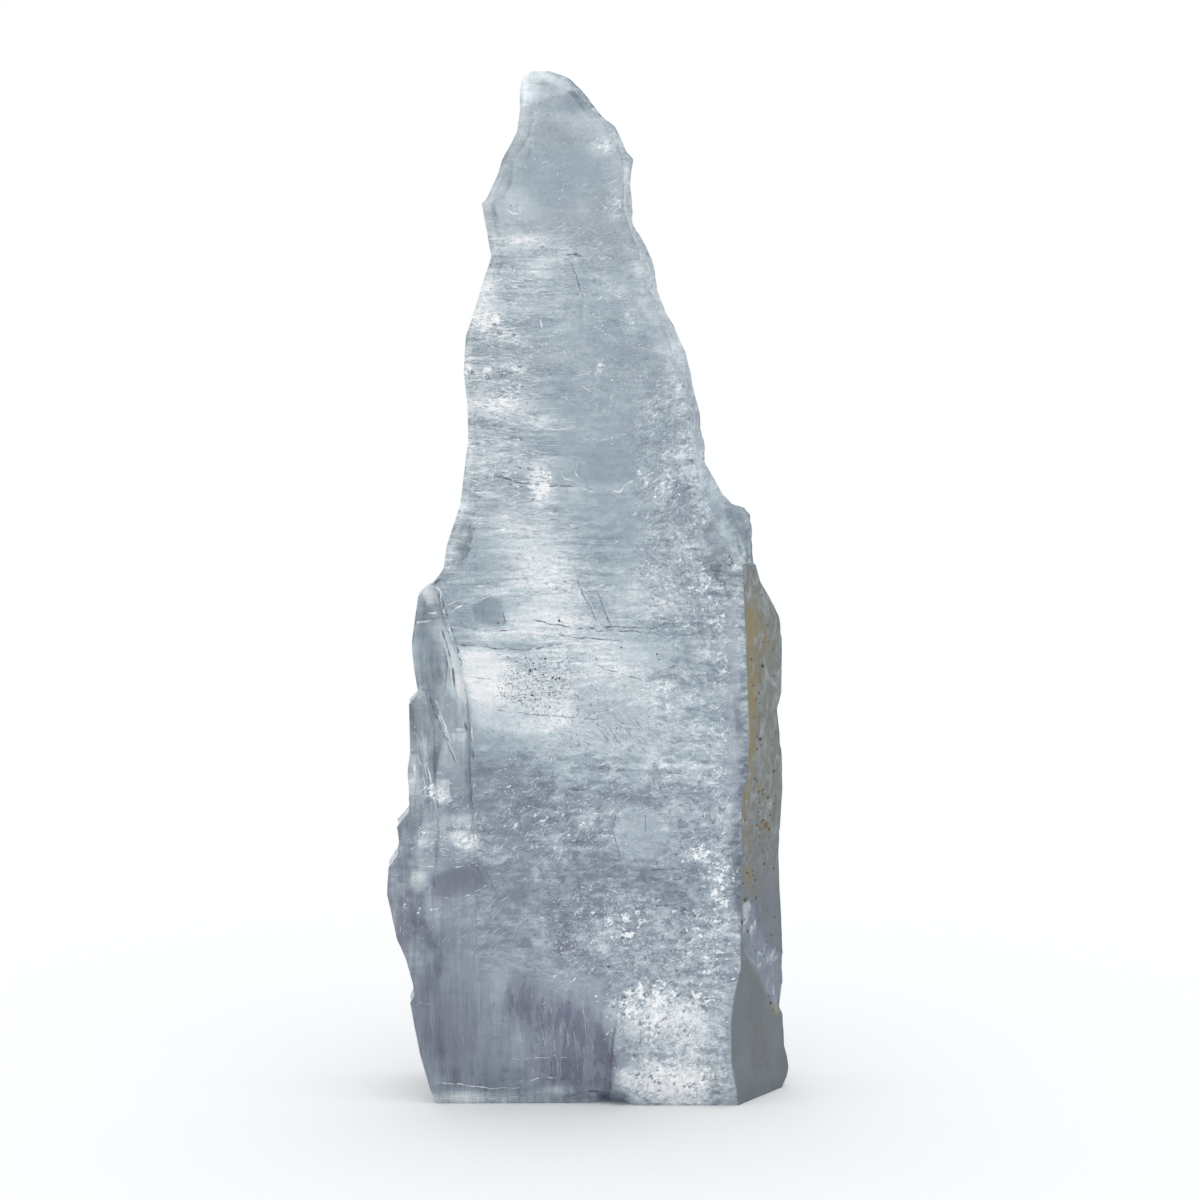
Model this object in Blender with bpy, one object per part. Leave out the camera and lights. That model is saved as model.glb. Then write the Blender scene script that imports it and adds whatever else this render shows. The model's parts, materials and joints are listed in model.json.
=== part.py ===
"""Selenite slab: one cleavage slab of clear gypsum that stands on its flat lower face.

Metres, +Z up, front cleavage plane towards -Y. The origin is under the middle
of the slab's box. All driving dimensions are in millimetres, with X measured
from a datum line 1.75 mm right of the middle of the width.

The body is a loft of unlike cross-sections. Going round one section from the
left: the front shards, the front cleavage plate, the growth edge, the growth
face of the prism, the ridge, the rear prism face, the rear cleavage plates and
the broken left side. Conchoidal scoops are then cut out with spheres.
"""

import math

import bmesh
import bpy
import numpy as np
from mathutils import Matrix, Vector, noise

MM = 0.001
DATUM_X = -1.75  # middle of the width, from the datum line

HEIGHT = 150.0
FRONT_Y = -9.3  # main front cleavage plane
REAR_Y = 10.5  # rear cleavage plane at the base
PRISM_SLOPE = 1.48  # the growth face goes back 1.48 mm for each 1 mm to the right (56 degrees)
REAR_PRISM = 0.56  # the rear prism face goes left 0.56 mm for each 1 mm back

# Left outline, (height, x): a broken edge that steps where cleavage sheets end.
LEFT = (
    (0.0, -24.8), (2.1, -25.6), (7.4, -27.1), (11.6, -27.9), (15.2, -28.5), (16.2, -27.9),
    (18.0, -28.1), (21.7, -29.1), (24.7, -30.4), (28.5, -31.2), (31.3, -31.8), (35.2, -31.6),
    (36.9, -30.3), (38.8, -30.0), (41.2, -30.3), (43.3, -28.6), (46.2, -28.5), (49.1, -28.7),
    (51.6, -28.3), (59.2, -28.4), (60.6, -26.9), (64.3, -27.6), (68.1, -28.0), (71.4, -27.4),
    (74.9, -26.8), (76.9, -24.2), (79.3, -22.7), (82.2, -22.3), (88.2, -20.3), (94.0, -19.6),
    (97.6, -19.1), (102.7, -19.1), (107.3, -19.7), (112.4, -19.4), (115.4, -18.3), (120.7, -16.7),
    (123.6, -15.7), (127.2, -16.3), (131.2, -17.0), (132.2, -15.8), (134.3, -14.8), (137.4, -14.1),
    (139.6, -12.8), (141.4, -11.9), (144.3, -11.5), (147.1, -11.7), (148.8, -11.3), (149.6, -10.5),
    (150.0, -9.8),
)

# Right outline, (height, x): the ridge of the prism up to 80 mm, then a fracture.
RIGHT = (
    (0.0, 27.2), (1.4, 28.0), (2.7, 28.3), (4.2, 28.1), (6.0, 27.6), (9.0, 27.5), (12.1, 27.2),
    (15.9, 27.6), (19.3, 27.3), (26.4, 26.9), (31.2, 26.6), (36.0, 26.4), (40.8, 26.7),
    (45.6, 27.0), (50.4, 26.8), (57.7, 26.0), (59.9, 26.7), (67.9, 26.8), (71.0, 26.4),
    (74.5, 24.6), (76.7, 23.3), (79.7, 22.5), (86.5, 22.0), (87.6, 21.0), (88.1, 19.2),
    (89.5, 17.9), (91.8, 16.6), (94.1, 15.4), (96.9, 15.4), (98.8, 14.8), (101.1, 14.7),
    (104.9, 13.7), (110.0, 12.5), (113.6, 10.9), (116.4, 9.3), (119.1, 8.4), (122.4, 8.0),
    (125.1, 6.9), (128.3, 4.9), (132.0, 4.8), (134.0, 4.5), (137.5, 5.0), (139.0, 3.7),
    (142.2, 2.3), (143.3, 0.7), (146.7, -2.0), (149.0, -4.3), (149.9, -6.6), (150.0, -7.2),
)

# Where the front plate meets the growth face, (height, x). Above 80 mm it is
# the inner edge of the fractured rim.
GROWTH_EDGE = (
    (0.0, 20.3), (3.0, 19.9), (6.1, 19.3), (12.5, 19.2), (16.4, 19.6), (20.6, 20.6), (46.0, 20.6),
    (49.0, 21.6), (58.6, 21.5), (67.9, 21.1), (79.0, 20.6), (82.0, 19.4), (85.0, 17.6),
    (88.0, 15.8), (91.0, 14.6), (94.1, 13.5), (101.1, 12.9), (108.0, 11.0), (113.6, 9.2),
    (119.1, 6.9), (125.1, 5.3), (129.7, 3.6), (137.5, 3.3), (142.2, 1.0), (145.2, -1.8),
    (148.2, -4.8), (150.0, -7.8),
)
# How far that edge stands in front of the main cleavage plane.
EDGE_PROUD = ((0.0, 1.2), (15.0, 1.2), (19.0, 0.7), (46.0, 0.6), (49.0, 0.1), (60.0, 0.0), (150.0, 0.0))

# The long straight step at the left end of the front plate, and how far the
# sheet beside it is set back.
STEP_A = (
    (0.0, -17.0), (30.0, -18.0), (48.0, -18.9), (56.0, -18.9), (60.5, -19.3), (66.3, -20.7),
    (70.4, -22.3), (76.5, -24.0), (78.5, -21.6), (82.2, -21.1), (88.2, -19.1), (97.6, -17.9),
    (107.3, -18.5), (112.4, -18.2), (123.6, -14.5), (131.2, -15.6), (137.4, -12.9),
    (141.4, -10.9), (149.0, -10.2), (150.0, -9.3),
)
STEP_A_BACK = (
    (0.0, 0.0), (38.0, 0.0), (43.0, 0.6), (46.0, 1.7), (70.6, 2.4), (71.6, 1.8), (76.2, 1.8),
    (77.6, 0.0), (150.0, 0.0),
)
# The lower shard left of that, whose top ends in a sloping ledge.
STEP_B = (
    (0.0, -21.5), (30.0, -24.5), (43.0, -23.4), (50.0, -24.2), (55.7, -24.2), (61.4, -25.5),
    (66.3, -25.9), (74.9, -25.2), (76.5, -24.1), (78.5, -22.1), (82.2, -21.7), (88.2, -19.7),
    (97.6, -18.5), (107.3, -19.1), (112.4, -18.8), (123.6, -15.1), (131.2, -16.4),
    (137.4, -13.5), (141.4, -11.4), (149.0, -10.7), (150.0, -9.6),
)
STEP_B_BACK = (
    (0.0, 0.0), (35.0, 0.2), (43.0, 0.8), (59.2, 0.9), (61.2, 2.4), (70.6, 2.4), (71.6, 1.8),
    (76.2, 1.8), (77.6, 0.0), (150.0, 0.0),
)
# The thicker plate at the lower right.
STEP_C = ((0.0, 1.2), (8.0, 1.6), (16.0, 2.6), (150.0, 2.0))
STEP_C_PROUD = ((0.0, 1.2), (12.0, 1.1), (16.5, 0.3), (19.0, 0.0), (150.0, 0.0))

# Rear cleavage plates: (height of the ledge, rise of the ledge, step forward,
# slant across the width, wave phase).
REAR_LEDGES = (
    (50.0, 11.0, 2.0, 0.10, 0.4),
    (75.0, 12.0, 2.2, -0.08, 1.9),
    (98.0, 12.0, 2.2, 0.10, 3.3),
    (118.0, 11.0, 2.0, -0.12, 5.0),
    (136.0, 12.0, 1.9, 0.06, 0.9),
)

BASE_BEVEL = (1.9, 0.7)  # height and depth of the chipped bevel along the front of the base
BASE_CHIP = (1.9, 2.5, 2.9)  # x, half width and depth of the notch in that bevel
TOP_FACET = (144.5, 0.35, 0.92)  # height at x = -11.7, its rise per mm, and how fast it leans back

# Scoops: centre x, y, z, radii x, y, z, and turn about the vertical in degrees.
SCOOPS = (
    (28.6, -7.2, 16.6, 3.0, 2.6, 7.2, 56.0),
    (27.6, 6.2, 62.0, 5.2, 3.0, 9.0, -50.0),
    (-31.0, 2.6, 52.0, 3.4, 5.0, 8.0, 8.0),
    (-20.3, -1.0, 99.5, 2.0, 4.6, 6.0, 0.0),
    (13.0, 9.6, 95.0, 5.0, 4.2, 7.0, -30.0),
)

ROWS = 84


def at(table, z):
    heights, values = zip(*table)
    return float(np.interp(z, heights, values))


def wave(seed, x, z, size):
    """Smooth noise between about -1 and 1."""
    return noise.noise(Vector((x / size, z / size, seed * 7.31)))


def smooth(t):
    t = min(max(t, 0.0), 1.0)
    return t * t * (3.0 - 2.0 * t)


def front_trim(x, z):
    """How far the bevel of the base and the facet at the top set the front back."""
    height, depth = BASE_BEVEL
    chip_x, chip_half, chip_depth = BASE_CHIP
    depth += chip_depth * math.exp(-(((x - chip_x) / chip_half) ** 4))
    back = depth * max(0.0, 1.0 - z / height)
    start = TOP_FACET[0] + TOP_FACET[1] * (x + 11.7)
    return back + TOP_FACET[2] * max(0.0, z - start)


def rear_y(x, z):
    y = REAR_Y
    for height, rise, step, slant, phase in REAR_LEDGES:
        middle = height + slant * x + 2.0 * math.sin(x / 6.1 + phase) + 0.8 * wave(phase, x, 0.0, 5.0)
        y -= step * smooth((z - middle) / rise + 0.5)
    y -= 2.4 * smooth((z - 141.0) / 9.0) ** 1.5
    return y


def section(z):
    """The corners and the points between them of the cross-section at one height, anticlockwise from above."""
    left, right, edge = at(LEFT, z), at(RIGHT, z), at(GROWTH_EDGE, z)
    a, b, c = at(STEP_A, z), at(STEP_B, z), at(STEP_C, z)
    back_a, back_b = at(STEP_A_BACK, z), at(STEP_B_BACK, z)
    # Steps that would fall outside the plate are drawn in beside its edge.
    c = min(c, edge - 1.2)
    c = max(c, a + 0.8)
    proud_c, proud_edge = at(STEP_C_PROUD, z), at(EDGE_PROUD, z)
    tip = left + min(0.7, 0.3 * (b - left))

    points = []

    def front(x0, x1, count, back0, back1):
        for i in range(count + 1):
            t = i / count
            x = x0 + (x1 - x0) * t
            y = FRONT_Y + back0 + (back1 - back0) * t
            points.append((x, y + front_trim(x, z)))

    front(tip, b - 0.06, 2, back_b, back_b)
    front(b + 0.06, a - 0.06, 3, back_a, back_a)
    front(a + 0.06, c - 0.2, 6, 0.0, 0.0)
    front(c + 0.2, edge, 6, -proud_c, -proud_edge)

    edge_y = points[-1][1]
    rear_at_ridge = rear_y(right, z)
    if z < 79.0:
        ridge_y = edge_y + (right - edge) * PRISM_SLOPE
    else:
        ridge_y = edge_y + 3.6 * smooth((152.0 - z) / 20.0) + 0.5 * wave(3, right, z, 9.0)
    ridge_y = min(ridge_y, rear_at_ridge - 0.35 * (rear_at_ridge - edge_y))
    for t in (0.25, 0.5, 0.75, 1.0):
        points.append((edge + (right - edge) * t, edge_y + (ridge_y - edge_y) * t))

    # The rear prism face and the broken left side run up to the rear plates.
    shoulder = smooth((92.0 - z) / 10.0)
    rear_right = right - (rear_at_ridge - ridge_y) * (REAR_PRISM * shoulder + 0.25 * (1.0 - shoulder))
    rear_left = left + 1.6 + 2.2 * shoulder * (1.0 + wave(5, 0.0, z, 9.0)) + 0.6 * wave(6, 0.0, z, 4.0)
    rear_left = min(rear_left, rear_right - 1.5)
    for t in (0.3, 0.65):
        y = ridge_y + (rear_y(rear_right, z) - ridge_y) * t
        x = right + (rear_right - right) * t
        points.append((x + 0.3 * wave(8, t * 9.0, z, 6.0), y))
    for i in range(10):
        x = rear_right + (rear_left - rear_right) * i / 9.0
        points.append((x, rear_y(x, z)))
    rear_y_left, front_y_left = points[-1][1], points[0][1]
    widest = front_y_left + (rear_y_left - front_y_left) * 0.34
    for t in (0.33, 0.67):
        x = rear_left + (left - rear_left) * t ** 0.7
        points.append((x, rear_y_left + (widest - rear_y_left) * t))
    points.append((left, widest))
    points.append((left + 0.45 * (tip - left), widest + (front_y_left - widest) * 0.6))
    return points


def heights():
    """Rows for the loft: evenly spaced, and pulled to the heights where the outline turns sharply."""
    rows = [HEIGHT * i / ROWS for i in range(ROWS + 1)]
    sharp = (0.9, 1.9, 2.7, 15.2, 16.2, 31.3, 35.2, 36.9, 41.2, 43.3, 59.2, 60.6, 70.6, 71.6,
             74.9, 76.5, 77.6, 86.5, 87.6, 88.1, 131.2, 132.2, 137.5, 148.8, 149.6)
    for z in sharp:
        nearest = min(range(1, len(rows) - 1), key=lambda i: abs(rows[i] - z))
        if abs(rows[nearest] - z) < 0.62 * HEIGHT / ROWS and rows[nearest] not in sharp:
            rows[nearest] = z
        else:
            rows.append(z)
            rows.sort()
    return [z for i, z in enumerate(rows) if i == 0 or z - rows[i - 1] > 0.25]


def loft(name, sections):
    """One closed mesh through sections that have the same number of points."""
    mesh = bpy.data.meshes.new(name)
    bm = bmesh.new()
    rings = []
    for z, points in sections:
        rings.append([bm.verts.new(((x - DATUM_X) * MM, y * MM, z * MM)) for x, y in points])
    count = len(rings[0])
    for lower, upper in zip(rings, rings[1:]):
        for i in range(count):
            j = (i + 1) % count
            bm.faces.new((lower[i], lower[j], upper[j], upper[i]))
    bm.faces.new(list(reversed(rings[0])))
    bm.faces.new(rings[-1])
    bmesh.ops.triangulate(bm, faces=bm.faces[:], quad_method="SHORT_EDGE", ngon_method="BEAUTY")
    bmesh.ops.recalc_face_normals(bm, faces=bm.faces[:])
    bm.to_mesh(mesh)
    bm.free()
    return bpy.data.objects.new(name, mesh)


def scoop(index, spec, collection):
    """A turned ellipsoid that takes a conchoidal flake off the slab."""
    x, y, z, rx, ry, rz, turn = spec
    mesh = bpy.data.meshes.new(f"scoop_{index}")
    bm = bmesh.new()
    bmesh.ops.create_uvsphere(bm, u_segments=18, v_segments=11, radius=1.0)
    bmesh.ops.transform(bm, matrix=Matrix.Diagonal((rx * MM, ry * MM, rz * MM, 1.0)), verts=bm.verts[:])
    bm.to_mesh(mesh)
    bm.free()
    cutter = bpy.data.objects.new(f"scoop_{index}", mesh)
    cutter.location = ((x - DATUM_X) * MM, y * MM, z * MM)
    cutter.rotation_euler = (0.0, 0.0, math.radians(turn))
    cutter.hide_render = True
    cutter.display_type = "WIRE"
    collection.objects.link(cutter)
    return cutter


def crystal_material():
    material = bpy.data.materials.new("clear_gypsum")
    material.use_nodes = True
    shader = material.node_tree.nodes["Principled BSDF"]
    shader.inputs["Base Color"].default_value = (0.62, 0.70, 0.77, 1.0)
    shader.inputs["Roughness"].default_value = 0.16
    shader.inputs["Metallic"].default_value = 0.0
    shader.inputs["IOR"].default_value = 1.52
    shader.inputs["Transmission Weight"].default_value = 0.9
    return material


def main():
    for obj in list(bpy.data.objects):
        bpy.data.objects.remove(obj, do_unlink=True)
    scene = bpy.context.scene
    parts = bpy.data.collections.new("selenite slab")
    cutters = bpy.data.collections.new("cutters")
    scene.collection.children.link(parts)
    scene.collection.children.link(cutters)

    slab = loft("selenite_slab", [(z, section(z)) for z in heights()])
    slab.data.materials.append(crystal_material())
    parts.objects.link(slab)
    for index, spec in enumerate(SCOOPS):
        cut = slab.modifiers.new(f"scoop {index}", "BOOLEAN")
        cut.operation = "DIFFERENCE"
        cut.solver = "EXACT"
        cut.object = scoop(index, spec, cutters)


main()
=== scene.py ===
"""Looks of the selenite slab: the fine surface of the crystal, what is sealed in it, and the studio."""
import json
import math

import bpy
import numpy as np
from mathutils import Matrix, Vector, noise
from mathutils.bvhtree import BVHTree

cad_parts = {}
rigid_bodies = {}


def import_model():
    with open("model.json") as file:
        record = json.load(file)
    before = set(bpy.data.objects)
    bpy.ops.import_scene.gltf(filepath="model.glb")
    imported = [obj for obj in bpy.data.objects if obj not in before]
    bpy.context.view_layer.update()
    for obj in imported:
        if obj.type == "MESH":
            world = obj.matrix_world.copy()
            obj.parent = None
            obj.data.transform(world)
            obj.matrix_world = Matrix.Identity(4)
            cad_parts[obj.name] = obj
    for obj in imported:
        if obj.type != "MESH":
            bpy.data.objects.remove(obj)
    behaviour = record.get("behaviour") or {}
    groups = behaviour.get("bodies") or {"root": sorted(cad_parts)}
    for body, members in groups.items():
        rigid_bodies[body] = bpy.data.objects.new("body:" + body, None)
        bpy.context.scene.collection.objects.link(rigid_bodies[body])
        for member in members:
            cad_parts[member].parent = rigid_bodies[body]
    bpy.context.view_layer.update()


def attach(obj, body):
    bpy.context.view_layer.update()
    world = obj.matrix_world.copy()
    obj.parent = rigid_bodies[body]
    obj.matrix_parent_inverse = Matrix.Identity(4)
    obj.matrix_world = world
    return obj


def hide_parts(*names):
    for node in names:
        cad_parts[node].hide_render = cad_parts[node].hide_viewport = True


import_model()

MM = 0.001
DATUM_X = -1.75
HEIGHT = 150.0
FRONT_Y = -9.3
REAR_Y = 10.5
PRISM_SLOPE = 1.48
REAR_PRISM = 0.56
IOR = 1.52

# ---------------------------------------------------------------- the camera
LENS = 100.0
ELEVATION = math.radians(6.5)
DISTANCE = 0.4899
TARGET = Vector((1.75 * MM, 0.0, 73.4 * MM))

# ------------------------------------------- the slab's stations, as in CAD
LEFT = (
    (0.0, -24.8), (2.1, -25.6), (7.4, -27.1), (11.6, -27.9), (15.2, -28.5), (16.2, -27.9),
    (18.0, -28.1), (21.7, -29.1), (24.7, -30.4), (28.5, -31.2), (31.3, -31.8), (35.2, -31.6),
    (36.9, -30.3), (38.8, -30.0), (41.2, -30.3), (43.3, -28.6), (46.2, -28.5), (49.1, -28.7),
    (51.6, -28.3), (59.2, -28.4), (60.6, -26.9), (64.3, -27.6), (68.1, -28.0), (71.4, -27.4),
    (74.9, -26.8), (76.9, -24.2), (79.3, -22.7), (82.2, -22.3), (88.2, -20.3), (94.0, -19.6),
    (97.6, -19.1), (102.7, -19.1), (107.3, -19.7), (112.4, -19.4), (115.4, -18.3), (120.7, -16.7),
    (123.6, -15.7), (127.2, -16.3), (131.2, -17.0), (132.2, -15.8), (134.3, -14.8), (137.4, -14.1),
    (139.6, -12.8), (141.4, -11.9), (144.3, -11.5), (147.1, -11.7), (148.8, -11.3), (149.6, -10.5),
    (150.0, -9.8),
)
RIGHT = (
    (0.0, 27.2), (1.4, 28.0), (2.7, 28.3), (4.2, 28.1), (6.0, 27.6), (9.0, 27.5), (12.1, 27.2),
    (15.9, 27.6), (19.3, 27.3), (26.4, 26.9), (31.2, 26.6), (36.0, 26.4), (40.8, 26.7),
    (45.6, 27.0), (50.4, 26.8), (57.7, 26.0), (59.9, 26.7), (67.9, 26.8), (71.0, 26.4),
    (74.5, 24.6), (76.7, 23.3), (79.7, 22.5), (86.5, 22.0), (87.6, 21.0), (88.1, 19.2),
    (89.5, 17.9), (91.8, 16.6), (94.1, 15.4), (96.9, 15.4), (98.8, 14.8), (101.1, 14.7),
    (104.9, 13.7), (110.0, 12.5), (113.6, 10.9), (116.4, 9.3), (119.1, 8.4), (122.4, 8.0),
    (125.1, 6.9), (128.3, 4.9), (132.0, 4.8), (134.0, 4.5), (137.5, 5.0), (139.0, 3.7),
    (142.2, 2.3), (143.3, 0.7), (146.7, -2.0), (149.0, -4.3), (149.9, -6.6), (150.0, -7.2),
)
GROWTH_EDGE = (
    (0.0, 20.3), (3.0, 19.9), (6.1, 19.3), (12.5, 19.2), (16.4, 19.6), (20.6, 20.6), (46.0, 20.6),
    (49.0, 21.6), (58.6, 21.5), (67.9, 21.1), (79.0, 20.6), (82.0, 19.4), (85.0, 17.6),
    (88.0, 15.8), (91.0, 14.6), (94.1, 13.5), (101.1, 12.9), (108.0, 11.0), (113.6, 9.2),
    (119.1, 6.9), (125.1, 5.3), (129.7, 3.6), (137.5, 3.3), (142.2, 1.0), (145.2, -1.8),
    (148.2, -4.8), (150.0, -7.8),
)
EDGE_PROUD = ((0.0, 1.2), (15.0, 1.2), (19.0, 0.7), (46.0, 0.6), (49.0, 0.1), (60.0, 0.0), (150.0, 0.0))
STEP_A = (
    (0.0, -17.0), (30.0, -18.0), (48.0, -18.9), (56.0, -18.9), (60.5, -19.3), (66.3, -20.7),
    (70.4, -22.3), (76.5, -24.0), (78.5, -21.6), (82.2, -21.1), (88.2, -19.1), (97.6, -17.9),
    (107.3, -18.5), (112.4, -18.2), (123.6, -14.5), (131.2, -15.6), (137.4, -12.9),
    (141.4, -10.9), (149.0, -10.2), (150.0, -9.3),
)
STEP_A_BACK = (
    (0.0, 0.0), (38.0, 0.0), (43.0, 0.6), (46.0, 1.7), (70.6, 2.4), (71.6, 1.8), (76.2, 1.8),
    (77.6, 0.0), (150.0, 0.0),
)
STEP_B = (
    (0.0, -21.5), (30.0, -24.5), (43.0, -23.4), (50.0, -24.2), (55.7, -24.2), (61.4, -25.5),
    (66.3, -25.9), (74.9, -25.2), (76.5, -24.1), (78.5, -22.1), (82.2, -21.7), (88.2, -19.7),
    (97.6, -18.5), (107.3, -19.1), (112.4, -18.8), (123.6, -15.1), (131.2, -16.4),
    (137.4, -13.5), (141.4, -11.4), (149.0, -10.7), (150.0, -9.6),
)
STEP_B_BACK = (
    (0.0, 0.0), (35.0, 0.2), (43.0, 0.8), (59.2, 0.9), (61.2, 2.4), (70.6, 2.4), (71.6, 1.8),
    (76.2, 1.8), (77.6, 0.0), (150.0, 0.0),
)
STEP_C = ((0.0, 1.2), (8.0, 1.6), (16.0, 2.6), (150.0, 2.0))
STEP_C_PROUD = ((0.0, 1.2), (12.0, 1.1), (16.5, 0.3), (19.0, 0.0), (150.0, 0.0))
REAR_LEDGES = (
    (50.0, 11.0, 2.0, 0.10, 0.4),
    (75.0, 12.0, 2.2, -0.08, 1.9),
    (98.0, 12.0, 2.2, 0.10, 3.3),
    (118.0, 11.0, 2.0, -0.12, 5.0),
    (136.0, 12.0, 1.9, 0.06, 0.9),
)
BASE_BEVEL = (1.9, 0.7)
BASE_CHIP = (1.9, 2.5, 2.9)
TOP_FACET = (144.5, 0.35, 0.92)
SCOOPS = (
    (28.6, -7.2, 16.6, 3.0, 2.6, 7.2, 56.0),
    (27.6, 6.2, 62.0, 5.2, 3.0, 9.0, -50.0),
    (-31.0, 2.6, 52.0, 3.4, 5.0, 8.0, 8.0),
    (-20.3, -1.0, 99.5, 2.0, 4.6, 6.0, 0.0),
    (13.0, 9.6, 95.0, 5.0, 4.2, 7.0, -30.0),
)

# ------------------------------------------------------------------ what shows
# Patches are (x, y, half length, half height, turn, strength) in a view 1200
# units wide from the camera below. Turn is in degrees, clockwise.

# Soft light areas, added to the crystal's tone: partly its milky whitening, partly painted light standing in for light
# reflected off inner cleavage planes, off the facet at the top and off the floor along the base.
LIGHT = (
    (547, 92, 28, 15, 12, 0.02), (578, 122, 32, 9, 14, 0.10), (603, 147, 16, 9, -10, 0.16),
    (516, 205, 14, 20, 20, 0.14), (583, 208, 12, 10, 20, 0.08), (526, 240, 32, 9, 6, 0.18),
    (556, 258, 40, 10, -12, 0.10), (535, 271, 16, 7, 10, 0.14), (486, 291, 10, 16, 0, 0.18),
    (525, 300, 48, 22, 0, 0.08), (487, 322, 17, 12, 0, 0.08), (508, 337, 24, 9, 22, 0.10),
    (616, 291, 18, 10, 10, 0.09), (632, 318, 9, 14, 0, 0.08), (672, 325, 22, 44, -18, 0.10),
    (469, 368, 9, 13, 0, 0.12), (486, 374, 12, 9, 0, 0.12), (514, 370, 22, 10, 0, 0.14),
    (505, 391, 36, 9, -5, 0.15), (500, 408, 30, 9, -6, 0.30), (540, 692, 60, 30, 0, 0.05), (510, 690, 44, 16, 4, 0.04), (560, 722, 40, 12, 6, 0.06),
    (722, 575, 20, 20, 0, 0.06), (545, 600, 34, 24, 0, 0.04), (566, 550, 30, 40, 0, 0.03), (430, 730, 20, 30, 0, 0.03), (525, 255, 40, 20, 0, 0.06), (480, 535, 30, 24, 0, 0.06), (550, 620, 50, 26, 0, 0.08),
    (528, 540, 40, 36, 0, 0.05), (545, 417, 34, 5, 6, 0.14),
    (545, 427, 42, 5, 5, 0.14), (500, 440, 36, 10, 0, 0.08), (500, 464, 46, 12, 3, 0.15),
    (541, 484, 13, 22, 0, 0.30), (502, 497, 26, 12, 10, 0.15), (500, 520, 34, 12, 12, 0.10),
    (602, 489, 40, 6, 0, 0.08), (646, 476, 9, 10, 0, 0.16), (665, 487, 9, 16, 0, 0.16),
    (528, 548, 34, 34, 0, 0.25), (550, 585, 44, 26, 0, 0.26),
    (486, 593, 28, 6, -12, 0.14), (545, 622, 40, 20, 0, 0.24), (500, 634, 34, 8, 2, 0.18),
    (480, 673, 26, 30, 8, 0.10), (590, 655, 36, 30, 0, 0.20), (635, 655, 50, 26, 0, 0.18),
    (640, 597, 38, 26, 0, 0.22), (628, 690, 60, 22, 4, 0.17), (660, 752, 42, 30, 0, 0.14),
    (600, 776, 50, 12, 5, 0.08), (575, 735, 60, 20, 5, 0.10), (505, 738, 22, 16, 20, 0.04),
    (440, 795, 10, 10, 0, 0.10), (412, 775, 8, 28, 0, 0.02), (590, 325, 40, 20, 0, 0.03), (466, 841, 18, 9, 8, 0.12),
    (419, 836, 9, 7, 0, 0.08), (462, 820, 24, 6, -6, 0.18), (421, 875, 10, 12, 0, 0.08),
    (588, 820, 12, 8, -20, 0.20), (556, 846, 10, 12, 0, 0.14), (698, 855, 15, 10, 15, 0.30),
    (719, 880, 12, 32, 0, 0.20), (716, 800, 22, 60, 0, 0.08), (655, 1012, 42, 28, 5, 0.32),
    (692, 1040, 34, 34, 30, 0.24), (672, 1082, 46, 18, 0, 0.54), (625, 1078, 14, 12, 0, 0.26),
    (568, 975, 26, 12, 15, 0.16), (612, 935, 46, 20, 0, 0.16), (690, 965, 34, 34, 0, 0.14),
    (555, 1090, 18, 5, 0, 0.30), (465, 1098, 44, 7, 0, 0.34), (600, 735, 54, 26, 6, 0.09), (560, 700, 40, 30, 0, 0.06), (680, 1098, 40, 5, 0, 0.20), (630, 660, 34, 30, 0, 0.03),
)
# Soft dark areas, taken off it.
DARK = (
    (605, 462, 25, 22, 3, 0.02), (585, 420, 30, 20, 0, 0.03),
    (470, 735, 10, 34, -6, 0.05), (481, 552, 30, 22, 0, 0.03), (594, 600, 9, 34, -24, 0.10),
    (640, 545, 40, 26, 0, 0.03), (690, 600, 12, 34, -10, 0.07), (497, 780, 50, 26, 10, 0.11),
    (530, 800, 40, 26, 0, 0.06), (462, 878, 28, 14, 0, 0.17), (440, 893, 14, 10, 0, 0.10),
    (455, 930, 50, 40, 0, 0.05), (430, 850, 20, 10, 0, 0.04), (452, 1030, 46, 62, 0, 0.19), (440, 950, 50, 40, 0, 0.04),
    (522, 1002, 17, 24, 0, 0.21), (560, 1026, 36, 30, 10, 0.12), (604, 1055, 14, 32, -14, 0.18),
    (604, 1082, 13, 8, 0, 0.12), (560, 1065, 40, 26, 0, 0.08), (400, 925, 11, 40, 0, 0.10),
    (515, 880, 26, 26, 0, 0.06), (575, 900, 22, 28, 0, 0.07), (645, 885, 44, 12, 0, 0.07),
    (572, 950, 20, 20, 0, 0.04), (585, 1096, 16, 5, 0, 0.22), (574, 100, 9, 11, 0, 0.12),
    (700, 900, 10, 40, 0, 0.03), (690, 382, 9, 16, -20, 0.10), (697, 412, 6, 14, -10, 0.16),
    (590, 225, 26, 20, 0, 0.03), (625, 410, 50, 60, 0, 0.045), (565, 165, 44, 36, 0, 0.05),
    (670, 500, 36, 40, 0, 0.05), (620, 260, 30, 30, 0, 0.03), (640, 545, 50, 40, 0, 0.02), (560, 830, 60, 40, 0, 0.04),
    (705, 850, 30, 60, 0, 0.03), (490, 820, 90, 60, 0, 0.03), (560, 900, 90, 60, 0, 0.05), (600, 930, 50, 34, 0, 0.05), (450, 1040, 30, 50, 0, 0.02),
)
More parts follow.
